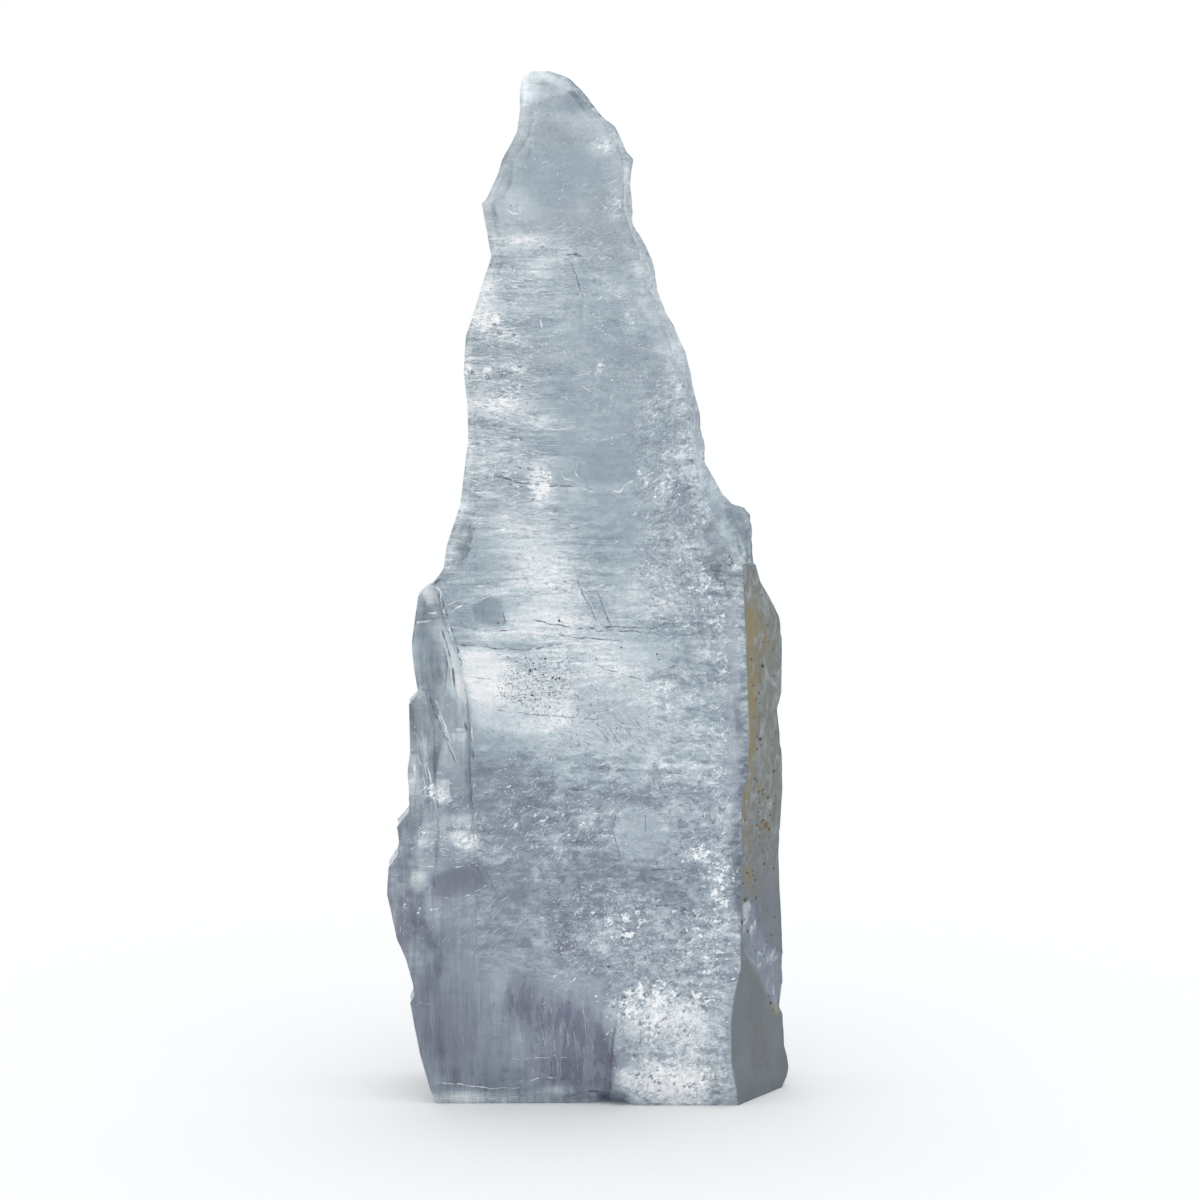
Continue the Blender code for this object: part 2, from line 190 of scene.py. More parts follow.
# Facets and windows with edges of their own: (corners, change of tone, softness).
FACETS = (
    (((457, 646), (480, 647), (502, 650), (525, 652), (548, 646), (566, 646), (574, 690), (572, 722),
      (548, 734), (520, 734), (494, 732), (472, 722), (465, 690)), 0.19, 6.0),
    (((457, 646), (502, 650), (516, 668), (504, 704), (478, 712), (464, 676)), 0.10, 8.0),
    (((472, 607), (489, 596), (502, 602), (506, 625), (495, 627), (475, 621)), -0.15, 1.5),
    (((578, 442), (600, 439), (628, 446), (633, 480), (616, 488), (592, 486), (580, 480)), -0.015, 0.8),
    (((617, 812), (642, 802), (665, 815), (673, 837), (652, 858), (622, 863), (611, 832)), 0.13, 3.0),
    # painted light: the small facet at the top tilts up to the light and is made lighter
    (((521, 75), (574, 73), (574, 88), (562, 96), (524, 103)), 0.06, 3.0),
    (((410, 626), (425, 624), (430, 635), (441, 645), (447, 667), (445, 687), (440, 705), (435, 722), (431, 695),
      (426, 684), (415, 687), (410, 670), (408, 645)), -0.05, 1.2),
    (((441, 626), (445, 624), (455, 645), (464, 675), (466, 710), (460, 695), (452, 670), (446, 647)), 0.13, 1.0),
    (((447, 690), (456, 700), (466, 736), (452, 742), (441, 716)), -0.08, 1.2),
    (((406, 695), (426, 684), (431, 702), (439, 725), (449, 750), (456, 765), (441, 769), (436, 755), (430, 742),
      (426, 725)), 0.05, 1.2),
    (((436, 778), (449, 780), (450, 802), (440, 803), (434, 792)), 0.24, 1.0),
    (((446, 833), (462, 831), (478, 836), (481, 846), (468, 852), (455, 846)), 0.22, 1.2),
    (((416, 839), (430, 838), (431, 847), (418, 849)), 0.18, 1.2),
    (((407, 780), (420, 779), (421, 794), (409, 796)), 0.12, 1.2),
    (((532, 862), (540, 866), (542, 884), (535, 883)), 0.16, 1.0),
    (((515, 800), (540, 803), (543, 822), (520, 824)), -0.06, 1.5),
    (((392, 858), (404, 856), (410, 868), (402, 884), (392, 876)), -0.08, 1.5),
    (((409, 870), (426, 872), (428, 890), (414, 894)), 0.12, 1.5),
    (((545, 905), (562, 900), (572, 925), (560, 955), (548, 938)), -0.08, 2.0),
    (((574, 880), (590, 874), (598, 896), (584, 912), (574, 900)), -0.07, 1.5),
    (((610, 880), (640, 874), (668, 880), (650, 893), (618, 895)), -0.05, 1.5),
    (((590, 935), (612, 925), (622, 940), (604, 955)), 0.10, 1.5),
    (((640, 905), (662, 900), (672, 915), (652, 926)), 0.09, 1.5),
    (((410, 755), (417, 755), (417, 782), (410, 782)), 0.16, 1.5),
    (((452, 732), (466, 732), (466, 740), (452, 740)), 0.16, 1.2),
    (((421, 720), (426, 745), (432, 780), (433, 810), (428, 800), (423, 765)), 0.08, 1.2),
    (((420, 588), (434, 583), (441, 602), (427, 606)), 0.22, 2.0),
    (((411, 612), (444, 608), (446, 617), (411, 626)), -0.08, 2.0),
    (((406, 697), (424, 689), (430, 735), (420, 742), (407, 720)), -0.09, 1.5),
    (((453, 866), (480, 862), (488, 884), (470, 897), (436, 896), (430, 880)), -0.11, 1.2),
    (((637, 633), (690, 632), (690, 655), (668, 668), (644, 675), (618, 662), (604, 640)), -0.04, 3.0),
    (((515, 985), (536, 982), (560, 1004), (596, 1010), (612, 1050), (616, 1090), (560, 1088), (520, 1040)), -0.05, 4.0),
    (((598, 1010), (640, 992), (690, 1000), (716, 1040), (712, 1092), (628, 1092), (612, 1050)), 0.08, 4.0),
)
# Places without fibres or crackle.
CALM = (
    (604, 464, 22, 20, 3, 0.50), (489, 611, 17, 13, 0, 0.95), (425, 655, 14, 40, -5, 0.85),
    (438, 705, 10, 34, -12, 0.70), (470, 735, 7, 40, -6, 0.60), (560, 180, 60, 50, 0, 0.55),
    (462, 878, 26, 12, 0, 0.95), (452, 1020, 44, 66, 0, 0.80), (725, 530, 22, 40, 0, 0.90),
    (641, 835, 28, 30, -12, 0.85), (570, 345, 50, 20, 0, 0.50), (483, 672, 20, 26, 8, 0.90),
    (540, 610, 34, 20, 0, 0.60), (650, 652, 34, 16, 0, 0.80), (528, 548, 30, 26, 0, 0.50),
    (734, 720, 7, 130, 0, 0.85), (672, 325, 20, 40, -18, 0.80), (481, 552, 28, 20, 0, 0.60),
)
# Purple smoke deep in the lower half.
SMOKY = (
    (522, 1000, 18, 24, 0, 1.00), (560, 1022, 34, 26, 10, 1.00), (604, 1052, 14, 32, -14, 1.00),
    (602, 1082, 14, 9, 0, 1.00), (560, 1064, 44, 26, 0, 0.80), (455, 1030, 50, 60, 0, 0.15),
    (400, 925, 12, 40, 0, 0.80), (436, 893, 14, 10, 0, 0.70), (500, 795, 44, 22, 0, 0.50),
    (575, 940, 24, 30, 0, 0.40), (437, 705, 10, 30, -12, 0.60), (600, 850, 20, 16, 0, 0.40),
    (660, 850, 20, 14, 0, 0.35), (590, 225, 30, 26, 0, 0.40), (735, 700, 8, 120, 0, 0.45),
)

# Where bright flaws gather: white flaws, and painted glints where light would catch them.
GLINTS = (
    (486, 322, 18, 14, 10, 1.00), (508, 336, 20, 8, 25, 0.70), (485, 292, 9, 16, 0, 0.80), (467, 368, 8, 14, 0, 0.85),
    (486, 374, 10, 8, 0, 0.80), (514, 370, 22, 10, 0, 0.65), (500, 404, 28, 9, -8, 0.95), (540, 483, 14, 20, 0, 1.00),
    (510, 388, 30, 8, -5, 0.60), (470, 445, 9, 8, 0, 0.65), (515, 441, 10, 6, 0, 0.60), (645, 476, 8, 10, 0, 0.80),
    (665, 485, 8, 15, 15, 0.85), (616, 290, 14, 8, 0, 0.60), (629, 317, 8, 12, 0, 0.60), (600, 367, 6, 9, 0, 0.65),
    (527, 242, 30, 6, 6, 0.75), (603, 145, 12, 6, -15, 0.80), (617, 200, 12, 22, 0, 0.55), (515, 210, 14, 7, 15, 0.50),
    (668, 470, 40, 80, 0, 0.20), (668, 570, 44, 50, 0, 0.24), (697, 580, 14, 30, -25, 0.34), (712, 610, 12, 30, -15, 0.52),
    (718, 660, 14, 50, 0, 0.46), (720, 760, 16, 60, 0, 0.42), (700, 854, 16, 11, 15, 0.95), (718, 880, 13, 30, 0, 0.75),
    (708, 950, 28, 50, 0, 0.50), (610, 925, 40, 22, 0, 0.60), (568, 975, 20, 12, 0, 0.60), (650, 1010, 50, 32, 0, 0.75),
    (672, 1078, 50, 20, 0, 0.85), (440, 796, 9, 10, 0, 0.85), (466, 841, 17, 9, 8, 0.90), (419, 836, 9, 7, 0, 0.65),
    (590, 819, 12, 7, -25, 0.60), (556, 846, 8, 10, 0, 0.55), (560, 830, 70, 50, 0, 0.30), (470, 800, 60, 40, 0, 0.30),
    (500, 470, 46, 40, 0, 0.35), (560, 590, 60, 20, 0, 0.25), (520, 280, 44, 20, 0, 0.35), (480, 1098, 50, 6, 0, 0.40),
    (436, 600, 12, 14, 0, 0.40), (425, 780, 14, 40, 0, 0.35), (420, 905, 20, 30, 0, 0.30),
)

# ----------------------------------------------------------------- small tools


def at(table, z):
    heights, values = zip(*table)
    return np.interp(z, heights, values)


def wave(seed, x, z, size):
    return noise.noise(Vector((x / size, z / size, seed * 7.31)))


def smooth(t):
    t = np.clip(t, 0.0, 1.0)
    return t * t * (3.0 - 2.0 * t)


def grain(x, y, z, seed=0):
    """Value noise between -1 and 1, for whole arrays at once."""
    x, y, z = np.broadcast_arrays(np.asarray(x, float), np.asarray(y, float), np.asarray(z, float))
    xi, yi, zi = (np.floor(v).astype(np.int64) for v in (x, y, z))
    xf, yf, zf = x - xi, y - yi, z - zi
    u, v, w = (f * f * f * (f * (f * 6 - 15) + 10) for f in (xf, yf, zf))

    def corner(i, j, k):
        h = (i * 374761393 + j * 668265263 + k * 2147483647 + seed * 1274126177) & 0xFFFFFFFF
        h = ((h ^ (h >> 13)) * 1274126177) & 0xFFFFFFFF
        h = (h ^ (h >> 16)) & 0xFFFF
        return h / 32767.5 - 1.0

    def lerp(a, b, t):
        return a + (b - a) * t

    c = [[[corner(xi + i, yi + j, zi + k) for k in (0, 1)] for j in (0, 1)] for i in (0, 1)]
    return lerp(
        lerp(lerp(c[0][0][0], c[1][0][0], u), lerp(c[0][1][0], c[1][1][0], u), v),
        lerp(lerp(c[0][0][1], c[1][0][1], u), lerp(c[0][1][1], c[1][1][1], u), v),
        w,
    )


def fractal(x, y, z, seed=0, octaves=4, gain=0.5):
    total, size, weight, reach = 0.0, 1.0, 1.0, 0.0
    for i in range(octaves):
        total = total + weight * grain(x * size, y * size, z * size, seed + 17 * i)
        reach += weight
        size *= 2.03
        weight *= gain
    return total / reach


def turned(x, z, degrees):
    """Coordinates along and across a direction, anticlockwise from +X."""
    c, s = math.cos(math.radians(degrees)), math.sin(math.radians(degrees))
    return x * c + z * s, -x * s + z * c


def terraces(n, levels, sharp=0.16):
    """Turns smooth noise into flat treads with short risers."""
    t = n * levels
    base = np.floor(t)
    return (base + smooth((t - base - 0.5) / sharp + 0.5)) / levels


FOCAL = LENS / 36.0 * 1200.0
COS_E, SIN_E = math.cos(ELEVATION), math.sin(ELEVATION)
TARGET_Z = TARGET.z / MM


def seen_y(y):
    """The depth at which something inside the crystal seems to lie, seen through the front."""
    return FRONT_Y + (y - FRONT_Y) / IOR


def to_view(x, y, z):
    w = z - TARGET_Z
    away = DISTANCE / MM + y * COS_E - w * SIN_E
    return 600.0 + FOCAL * x / away, 600.0 - FOCAL * (w * COS_E + y * SIN_E) / away


def from_view(px, py, y):
    """(x, z) of the point at depth y that shows at that place in the view."""
    a, b = (600.0 - py) / FOCAL, (px - 600.0) / FOCAL
    w = (a * (DISTANCE / MM + y * COS_E) - y * SIN_E) / (COS_E + a * SIN_E)
    return b * (DISTANCE / MM + y * COS_E - w * SIN_E), TARGET_Z + w


def patches(table, px, py, power=1.4):
    out = np.zeros(np.broadcast(px, py).shape)
    for cx, cy, rx, ry, turn, gain in table:
        c, s = math.cos(math.radians(turn)), math.sin(math.radians(turn))
        u = ((px - cx) * c + (py - cy) * s) / rx
        v = (-(px - cx) * s + (py - cy) * c) / ry
        out = 1.0 - (1.0 - out) * (1.0 - gain * np.exp(-np.power(u * u + v * v, power)))
    return out


def add_up(table, px, py, power=1.2):
    """Patches added together, for tones."""
    out = np.zeros(np.broadcast(px, py).shape)
    for cx, cy, rx, ry, turn, gain in table:
        c, s = math.cos(math.radians(turn)), math.sin(math.radians(turn))
        u = ((px - cx) * c + (py - cy) * s) / rx
        v = (-(px - cx) * s + (py - cy) * c) / ry
        out += gain * np.exp(-np.power(u * u + v * v, power))
    return out


def inside_of(points, px, py):
    """Distance inside a polygon of view points, negative outside."""
    px, py = np.broadcast_arrays(np.asarray(px, float), np.asarray(py, float))
    nearest = np.full(px.shape, 1e9)
    odd = np.zeros(px.shape, bool)
    for (x0, y0), (x1, y1) in zip(points, points[1:] + points[:1]):
        dx, dy = x1 - x0, y1 - y0
        t = np.clip(((px - x0) * dx + (py - y0) * dy) / (dx * dx + dy * dy), 0.0, 1.0)
        nearest = np.minimum(nearest, np.hypot(px - x0 - t * dx, py - y0 - t * dy))
        if y0 != y1:
            crosses = ((y0 > py) != (y1 > py)) & (px < dx * (py - y0) / dy + x0)
            odd ^= crosses
    return np.where(odd, nearest, -nearest)


def make_object(name, verts, faces, attributes=None, smooth_angle=None):
    """A mesh object from datum millimetres, riding on nothing yet."""
    verts = np.asarray(verts, float).copy()
    verts[:, 0] -= DATUM_X
    mesh = bpy.data.meshes.new(name)
    mesh.from_pydata((verts * MM).tolist(), [], faces if isinstance(faces, list) else faces.tolist())
    mesh.update()
    for key, values in (attributes or {}).items():
        layer = mesh.attributes.new(key, "FLOAT", "POINT")
        layer.data.foreach_set("value", np.asarray(values, np.float32))
    if smooth_angle is not None:
        mesh.shade_smooth()
        mesh.set_sharp_from_angle(angle=math.radians(smooth_angle))
    thing = bpy.data.objects.new(name, mesh)
    bpy.context.scene.collection.objects.link(thing)
    return thing


# ---------------------------------------------------------- the crystal body
SHARDS, PLATE_LEFT, PLATE_MID, PLATE_RIGHT, GROWTH, REAR_FACE, REAR, LEFT_SIDE = range(8)


def front_trim(x, z):
    height, depth = BASE_BEVEL
    chip_x, chip_half, chip_depth = BASE_CHIP
    depth = depth + chip_depth * np.exp(-(((x - chip_x) / chip_half) ** 4))
    back = depth * np.maximum(0.0, 1.0 - z / height)
    start = TOP_FACET[0] + TOP_FACET[1] * (x + 11.7)
    return back + TOP_FACET[2] * np.maximum(0.0, z - start)


def rear_y(x, z):
    x = np.atleast_1d(np.asarray(x, float))
    y = np.full(x.shape, REAR_Y)
    for height, rise, step, slant, phase in REAR_LEDGES:
        ripple = np.array([wave(phase, v, 0.0, 5.0) for v in x])
        middle = height + slant * x + 2.0 * np.sin(x / 6.1 + phase) + 0.8 * ripple
        y -= step * smooth((z - middle) / rise + 0.5)
    y -= 2.4 * smooth((z - 141.0) / 9.0) ** 1.5
    return y


def section(z):
    """Points (x, y, kind) round the slab at one height, as part.py's section but finer."""
    left, right, edge = float(at(LEFT, z)), float(at(RIGHT, z)), float(at(GROWTH_EDGE, z))
    a, b, c = float(at(STEP_A, z)), float(at(STEP_B, z)), float(at(STEP_C, z))
    back_a, back_b = float(at(STEP_A_BACK, z)), float(at(STEP_B_BACK, z))
    c = max(min(c, edge - 1.2), a + 0.8)
    proud_c, proud_edge = float(at(STEP_C_PROUD, z)), float(at(EDGE_PROUD, z))
    tip = left + min(0.7, 0.3 * (b - left))
    xs, ys, kinds = [], [], []

    def add(x, y, kind):
        xs.append(np.atleast_1d(x)); ys.append(np.atleast_1d(y))
        kinds.append(np.full(len(xs[-1]), kind))

    def front(x0, x1, count, back0, back1, kind):
        t = np.linspace(0.0, 1.0, count + 1)
        x = x0 + (x1 - x0) * t
        add(x, FRONT_Y + back0 + (back1 - back0) * t + front_trim(x, z), kind)

    front(tip, b - 0.06, 9, back_b, back_b, SHARDS)
    front(b + 0.06, a - 0.06, 17, back_a, back_a, SHARDS)
    front(a + 0.06, c - 0.12, 58, 0.0, 0.0, PLATE_LEFT)
    front(c + 0.12, edge, 52, -proud_c, -proud_edge, PLATE_RIGHT)
    edge_y = float(ys[-1][-1])
    rear_at_ridge = float(rear_y(right, z)[0])
    if z < 79.0:
        ridge_y = edge_y + (right - edge) * PRISM_SLOPE
    else:
        ridge_y = edge_y + 3.6 * float(smooth((152.0 - z) / 20.0)) + 0.5 * wave(3, right, z, 9.0)
    ridge_y = min(ridge_y, rear_at_ridge - 0.35 * (rear_at_ridge - edge_y))
    t = np.linspace(0.0, 1.0, 23)[1:]
    add(edge + (right - edge) * t, edge_y + (ridge_y - edge_y) * t, GROWTH)
    shoulder = float(smooth((92.0 - z) / 10.0))
    rear_right = right - (rear_at_ridge - ridge_y) * (REAR_PRISM * shoulder + 0.25 * (1.0 - shoulder))
    rear_left = left + 1.6 + 2.2 * shoulder * (1.0 + wave(5, 0.0, z, 9.0)) + 0.6 * wave(6, 0.0, z, 4.0)
    rear_left = min(rear_left, rear_right - 1.5)
    t = np.linspace(0.0, 1.0, 18)[1:-1]
    add(right + (rear_right - right) * t, ridge_y + (float(rear_y(rear_right, z)[0]) - ridge_y) * t, REAR_FACE)
    x = np.linspace(rear_right, rear_left, 56)
    add(x, rear_y(x, z), REAR)
    rear_y_left, front_y_left = float(ys[-1][-1]), float(ys[0][0])
    widest = front_y_left + (rear_y_left - front_y_left) * 0.34
    t = np.linspace(0.0, 1.0, 16)[1:-1]
    add(rear_left + (left - rear_left) * t ** 0.7, rear_y_left + (widest - rear_y_left) * t, LEFT_SIDE)
    t = np.linspace(0.0, 1.0, 9)[:-1]
    add(left + 0.75 * (tip - left) * t, widest + (front_y_left - widest) * t, LEFT_SIDE)
    return np.concatenate(xs), np.concatenate(ys), np.concatenate(kinds)


def heights():
    rows = list(np.arange(0.0, HEIGHT + 0.01, 0.43))
    rows[-1] = HEIGHT
    for z in (0.9, 1.9, 15.2, 16.2, 36.9, 41.2, 43.3, 59.2, 60.6, 70.6, 71.6, 76.5, 77.6, 87.6, 88.1, 131.2, 132.2):
        nearest = min(range(1, len(rows) - 1), key=lambda i: abs(rows[i] - z))
        rows[nearest] = z
    return np.array(sorted(rows))


def regions(px, py):
    """How fibrous, how crackled and how plain the front is at a place in the view."""
    fibrous = smooth((py - 215) / 30) * smooth((660 - py) / 60) * (0.35 + 0.65 * smooth((640 - px) / 60))
    lower = smooth((py - 700) / 80)
    crackled = np.maximum(
        lower * smooth((px - 500) / 60) * smooth((1110 - py) / 20),
        smooth((px - 625) / 30) * smooth((735 - px) / 12) * smooth((py - 350) / 60),
    )
    crackled = np.maximum(crackled, smooth((py - 740) / 40) * smooth((960 - py) / 60) * 0.8)
    plain = patches(CALM, px, py, 2.0)
    return fibrous * (1 - 0.8 * plain), crackled * (1 - 0.8 * plain), plain


def relief(x, y, z, kind):
    """Fine relief cut into the surface, in millimetres."""
    cut = np.zeros(x.shape)
    px, py = to_view(x, y, z)
    fibrous, crackled, plain = regions(px, py)
    front = (kind == SHARDS) | (kind == PLATE_LEFT) | (kind == PLATE_RIGHT)
    warp = 1.5 * fractal(x / 7, 0, z / 7, 40, 2)
    treads = terraces(fractal((x + warp) / 13, 0, (z + 0.16 * x) / 6, 2, 3), 7)
    fibres = 1 - np.abs(fractal((x + 2 * warp) / 5.5, 0, (z + 0.07 * x + 0.3 * warp) / 0.85, 5, 3))
    along, across = turned(x, z, 42)
    diagonal = 1 - np.abs(fractal(along / 2.6, 0, (across + 0.4 * warp) / 0.7, 6, 3))
    crackle = 1 - np.abs(fractal(x / 1.5 + 0.4 * warp, 0, z / 1.3, 7, 3))
    flat = 0.05 * (treads + 1) + 0.075 * fibrous * fibres ** 2 + crackled * (0.06 * diagonal ** 2 + 0.10 * crackle ** 3)
    cut = np.where(front, np.where((kind == SHARDS) & (z > 45), 0.35 * flat, flat), cut)
    low = z < 79.5
    growth = kind == GROWTH
    around = x * 0.56 + y * 0.83
    striae = 0.5 + 0.5 * fractal(around / 0.45, 0, z / 9, 11, 3)
    pits = np.maximum(0, fractal(around / 1.3, 0, z / 1.5, 12, 3)) ** 2
    broken = smooth(inside_of(BROKEN_PATCH, px, py) / 4 + 0.5)
    shell = 0.5 + 0.5 * fractal(around / 1.6, 0, z / 2.2, 13, 3)
    cut = np.where(growth & low, 0.07 * striae + 0.22 * pits + broken * (0.18 + 0.35 * shell), cut)
    chips = 1 - np.abs(fractal(x / 3, y / 3, z / 4.5, 14, 3))
    fine = 1 - np.abs(fractal(x / 1.1, y / 1.1, z / 1.6, 15, 2))
    cut = np.where(growth & ~low, 0.30 * chips ** 2 + 0.12 * fine ** 2, cut)
    side = kind == LEFT_SIDE
    steps = terraces(fractal(x / 9, y / 4.2, z / 7, 16, 3), 6, 0.3)
    cut = np.where(side, 0.30 * (steps + 1) + 0.22 * chips ** 2 + 0.14 * fine ** 2, cut)
    rear = kind == REAR
    plates = terraces(fractal((x - warp) / 15, 0, (z - 0.12 * x) / 7, 21, 3), 7, 0.22)
    rear_fibres = 1 - np.abs(fractal(x / 6, 0, (z - 0.1 * x) / 0.9, 22, 3))
    rough = smooth(fractal(x / 12, 0, z / 14, 23, 2) * 3 + 0.4)
    cut = np.where(rear, 0.16 * (plates + 1) + rough * (0.07 * rear_fibres ** 2 + 0.07 * crackle ** 3), cut)
    prism = kind == REAR_FACE
    cut = np.where(prism, 0.10 * (0.5 + 0.5 * fractal(y / 0.6, 0, z / 8, 24, 3)) + 0.12 * chips ** 3, cut)
    return cut * smooth(z / 0.8) * smooth((HEIGHT - z) / 0.8 + 0.15)


# The broken place low on the growth face, in the view.
BROKEN_PATCH = [(744, 903), (757, 900), (762, 925), (768, 945), (783, 955), (788, 985), (787, 1008),
                (778, 1012), (768, 992), (757, 968), (746, 952), (743, 930)]


def build_body():
    rows = heights()
    sections = [section(float(z)) for z in rows]
    x = np.array([s[0] for s in sections])
    y = np.array([s[1] for s in sections])
    kind = np.array([s[2] for s in sections])
    z = np.repeat(rows[:, None], x.shape[1], axis=1)
    rings, count = x.shape
    for sx, sy, sz, rx, ry, rz, turn in SCOOPS:
        ca, sa = math.cos(math.radians(turn)), math.sin(math.radians(turn))
        dx, dy, dz = x - sx, y - sy, z - sz
        lx, ly = (dx * ca + dy * sa) / rx, (-dx * sa + dy * ca) / ry
        lz = dz / rz
        reach = np.sqrt(lx * lx + ly * ly + lz * lz)
        inside = (reach < 1.0) & (z > 0.01)
        grow = np.where(inside, 1.0 / np.maximum(reach, 1e-3), 1.0)
        x, y, z = sx + dx * grow, sy + dy * grow, np.clip(sz + dz * grow, 0.0, HEIGHT)
    # cut the relief in along the surface's own normal
    points = np.stack([x, y, z], axis=2)
    along = np.roll(points, -1, axis=1) - np.roll(points, 1, axis=1)
    up = np.empty_like(points)
    up[1:-1] = points[2:] - points[:-2]
    up[0], up[-1] = points[1] - points[0], points[-1] - points[-2]
    normal = np.cross(along, up)
    normal /= np.maximum(np.linalg.norm(normal, axis=2, keepdims=True), 1e-9)
    normal[..., 2] *= 0.3
    cut = relief(x, y, z, kind)
    points = points - normal * cut[..., None]
    points[..., 2] = np.clip(points[..., 2], 0.0, HEIGHT)
    points[0, :, 2], points[-1, :, 2] = 0.0, HEIGHT
    x, y, z = points[..., 0], points[..., 1], points[..., 2]

    i = np.arange(rings - 1)[:, None] * count
    j = np.arange(count)[None, :]
    k = (j + 1) % count
    quads = np.stack([i + j, i + k, i + k + count, i + j + count], axis=2).reshape(-1, 4)
    faces = quads.tolist()
    faces.append(list(range(count))[::-1])
    faces.append([(rings - 1) * count + n for n in range(count)])

    attributes = body_attributes(x, y, z, kind)
    body = make_object("selenite_crystal", points.reshape(-1, 3), faces, attributes, 28)
    # the growth face below 80 mm is the second material
    following = np.roll(kind, -1, axis=1)
    low = z[:-1] < 79.0 + 0.8 * fractal(x[:-1] / 1.5, 0, 3.0, 33, 2)
    matte = (following[:-1] == GROWTH) & low
    index = np.concatenate([matte.reshape(-1).astype(np.int32), [0, 0]]).astype(np.int32)
    body.data.polygons.foreach_set("material_index", index)
    return body


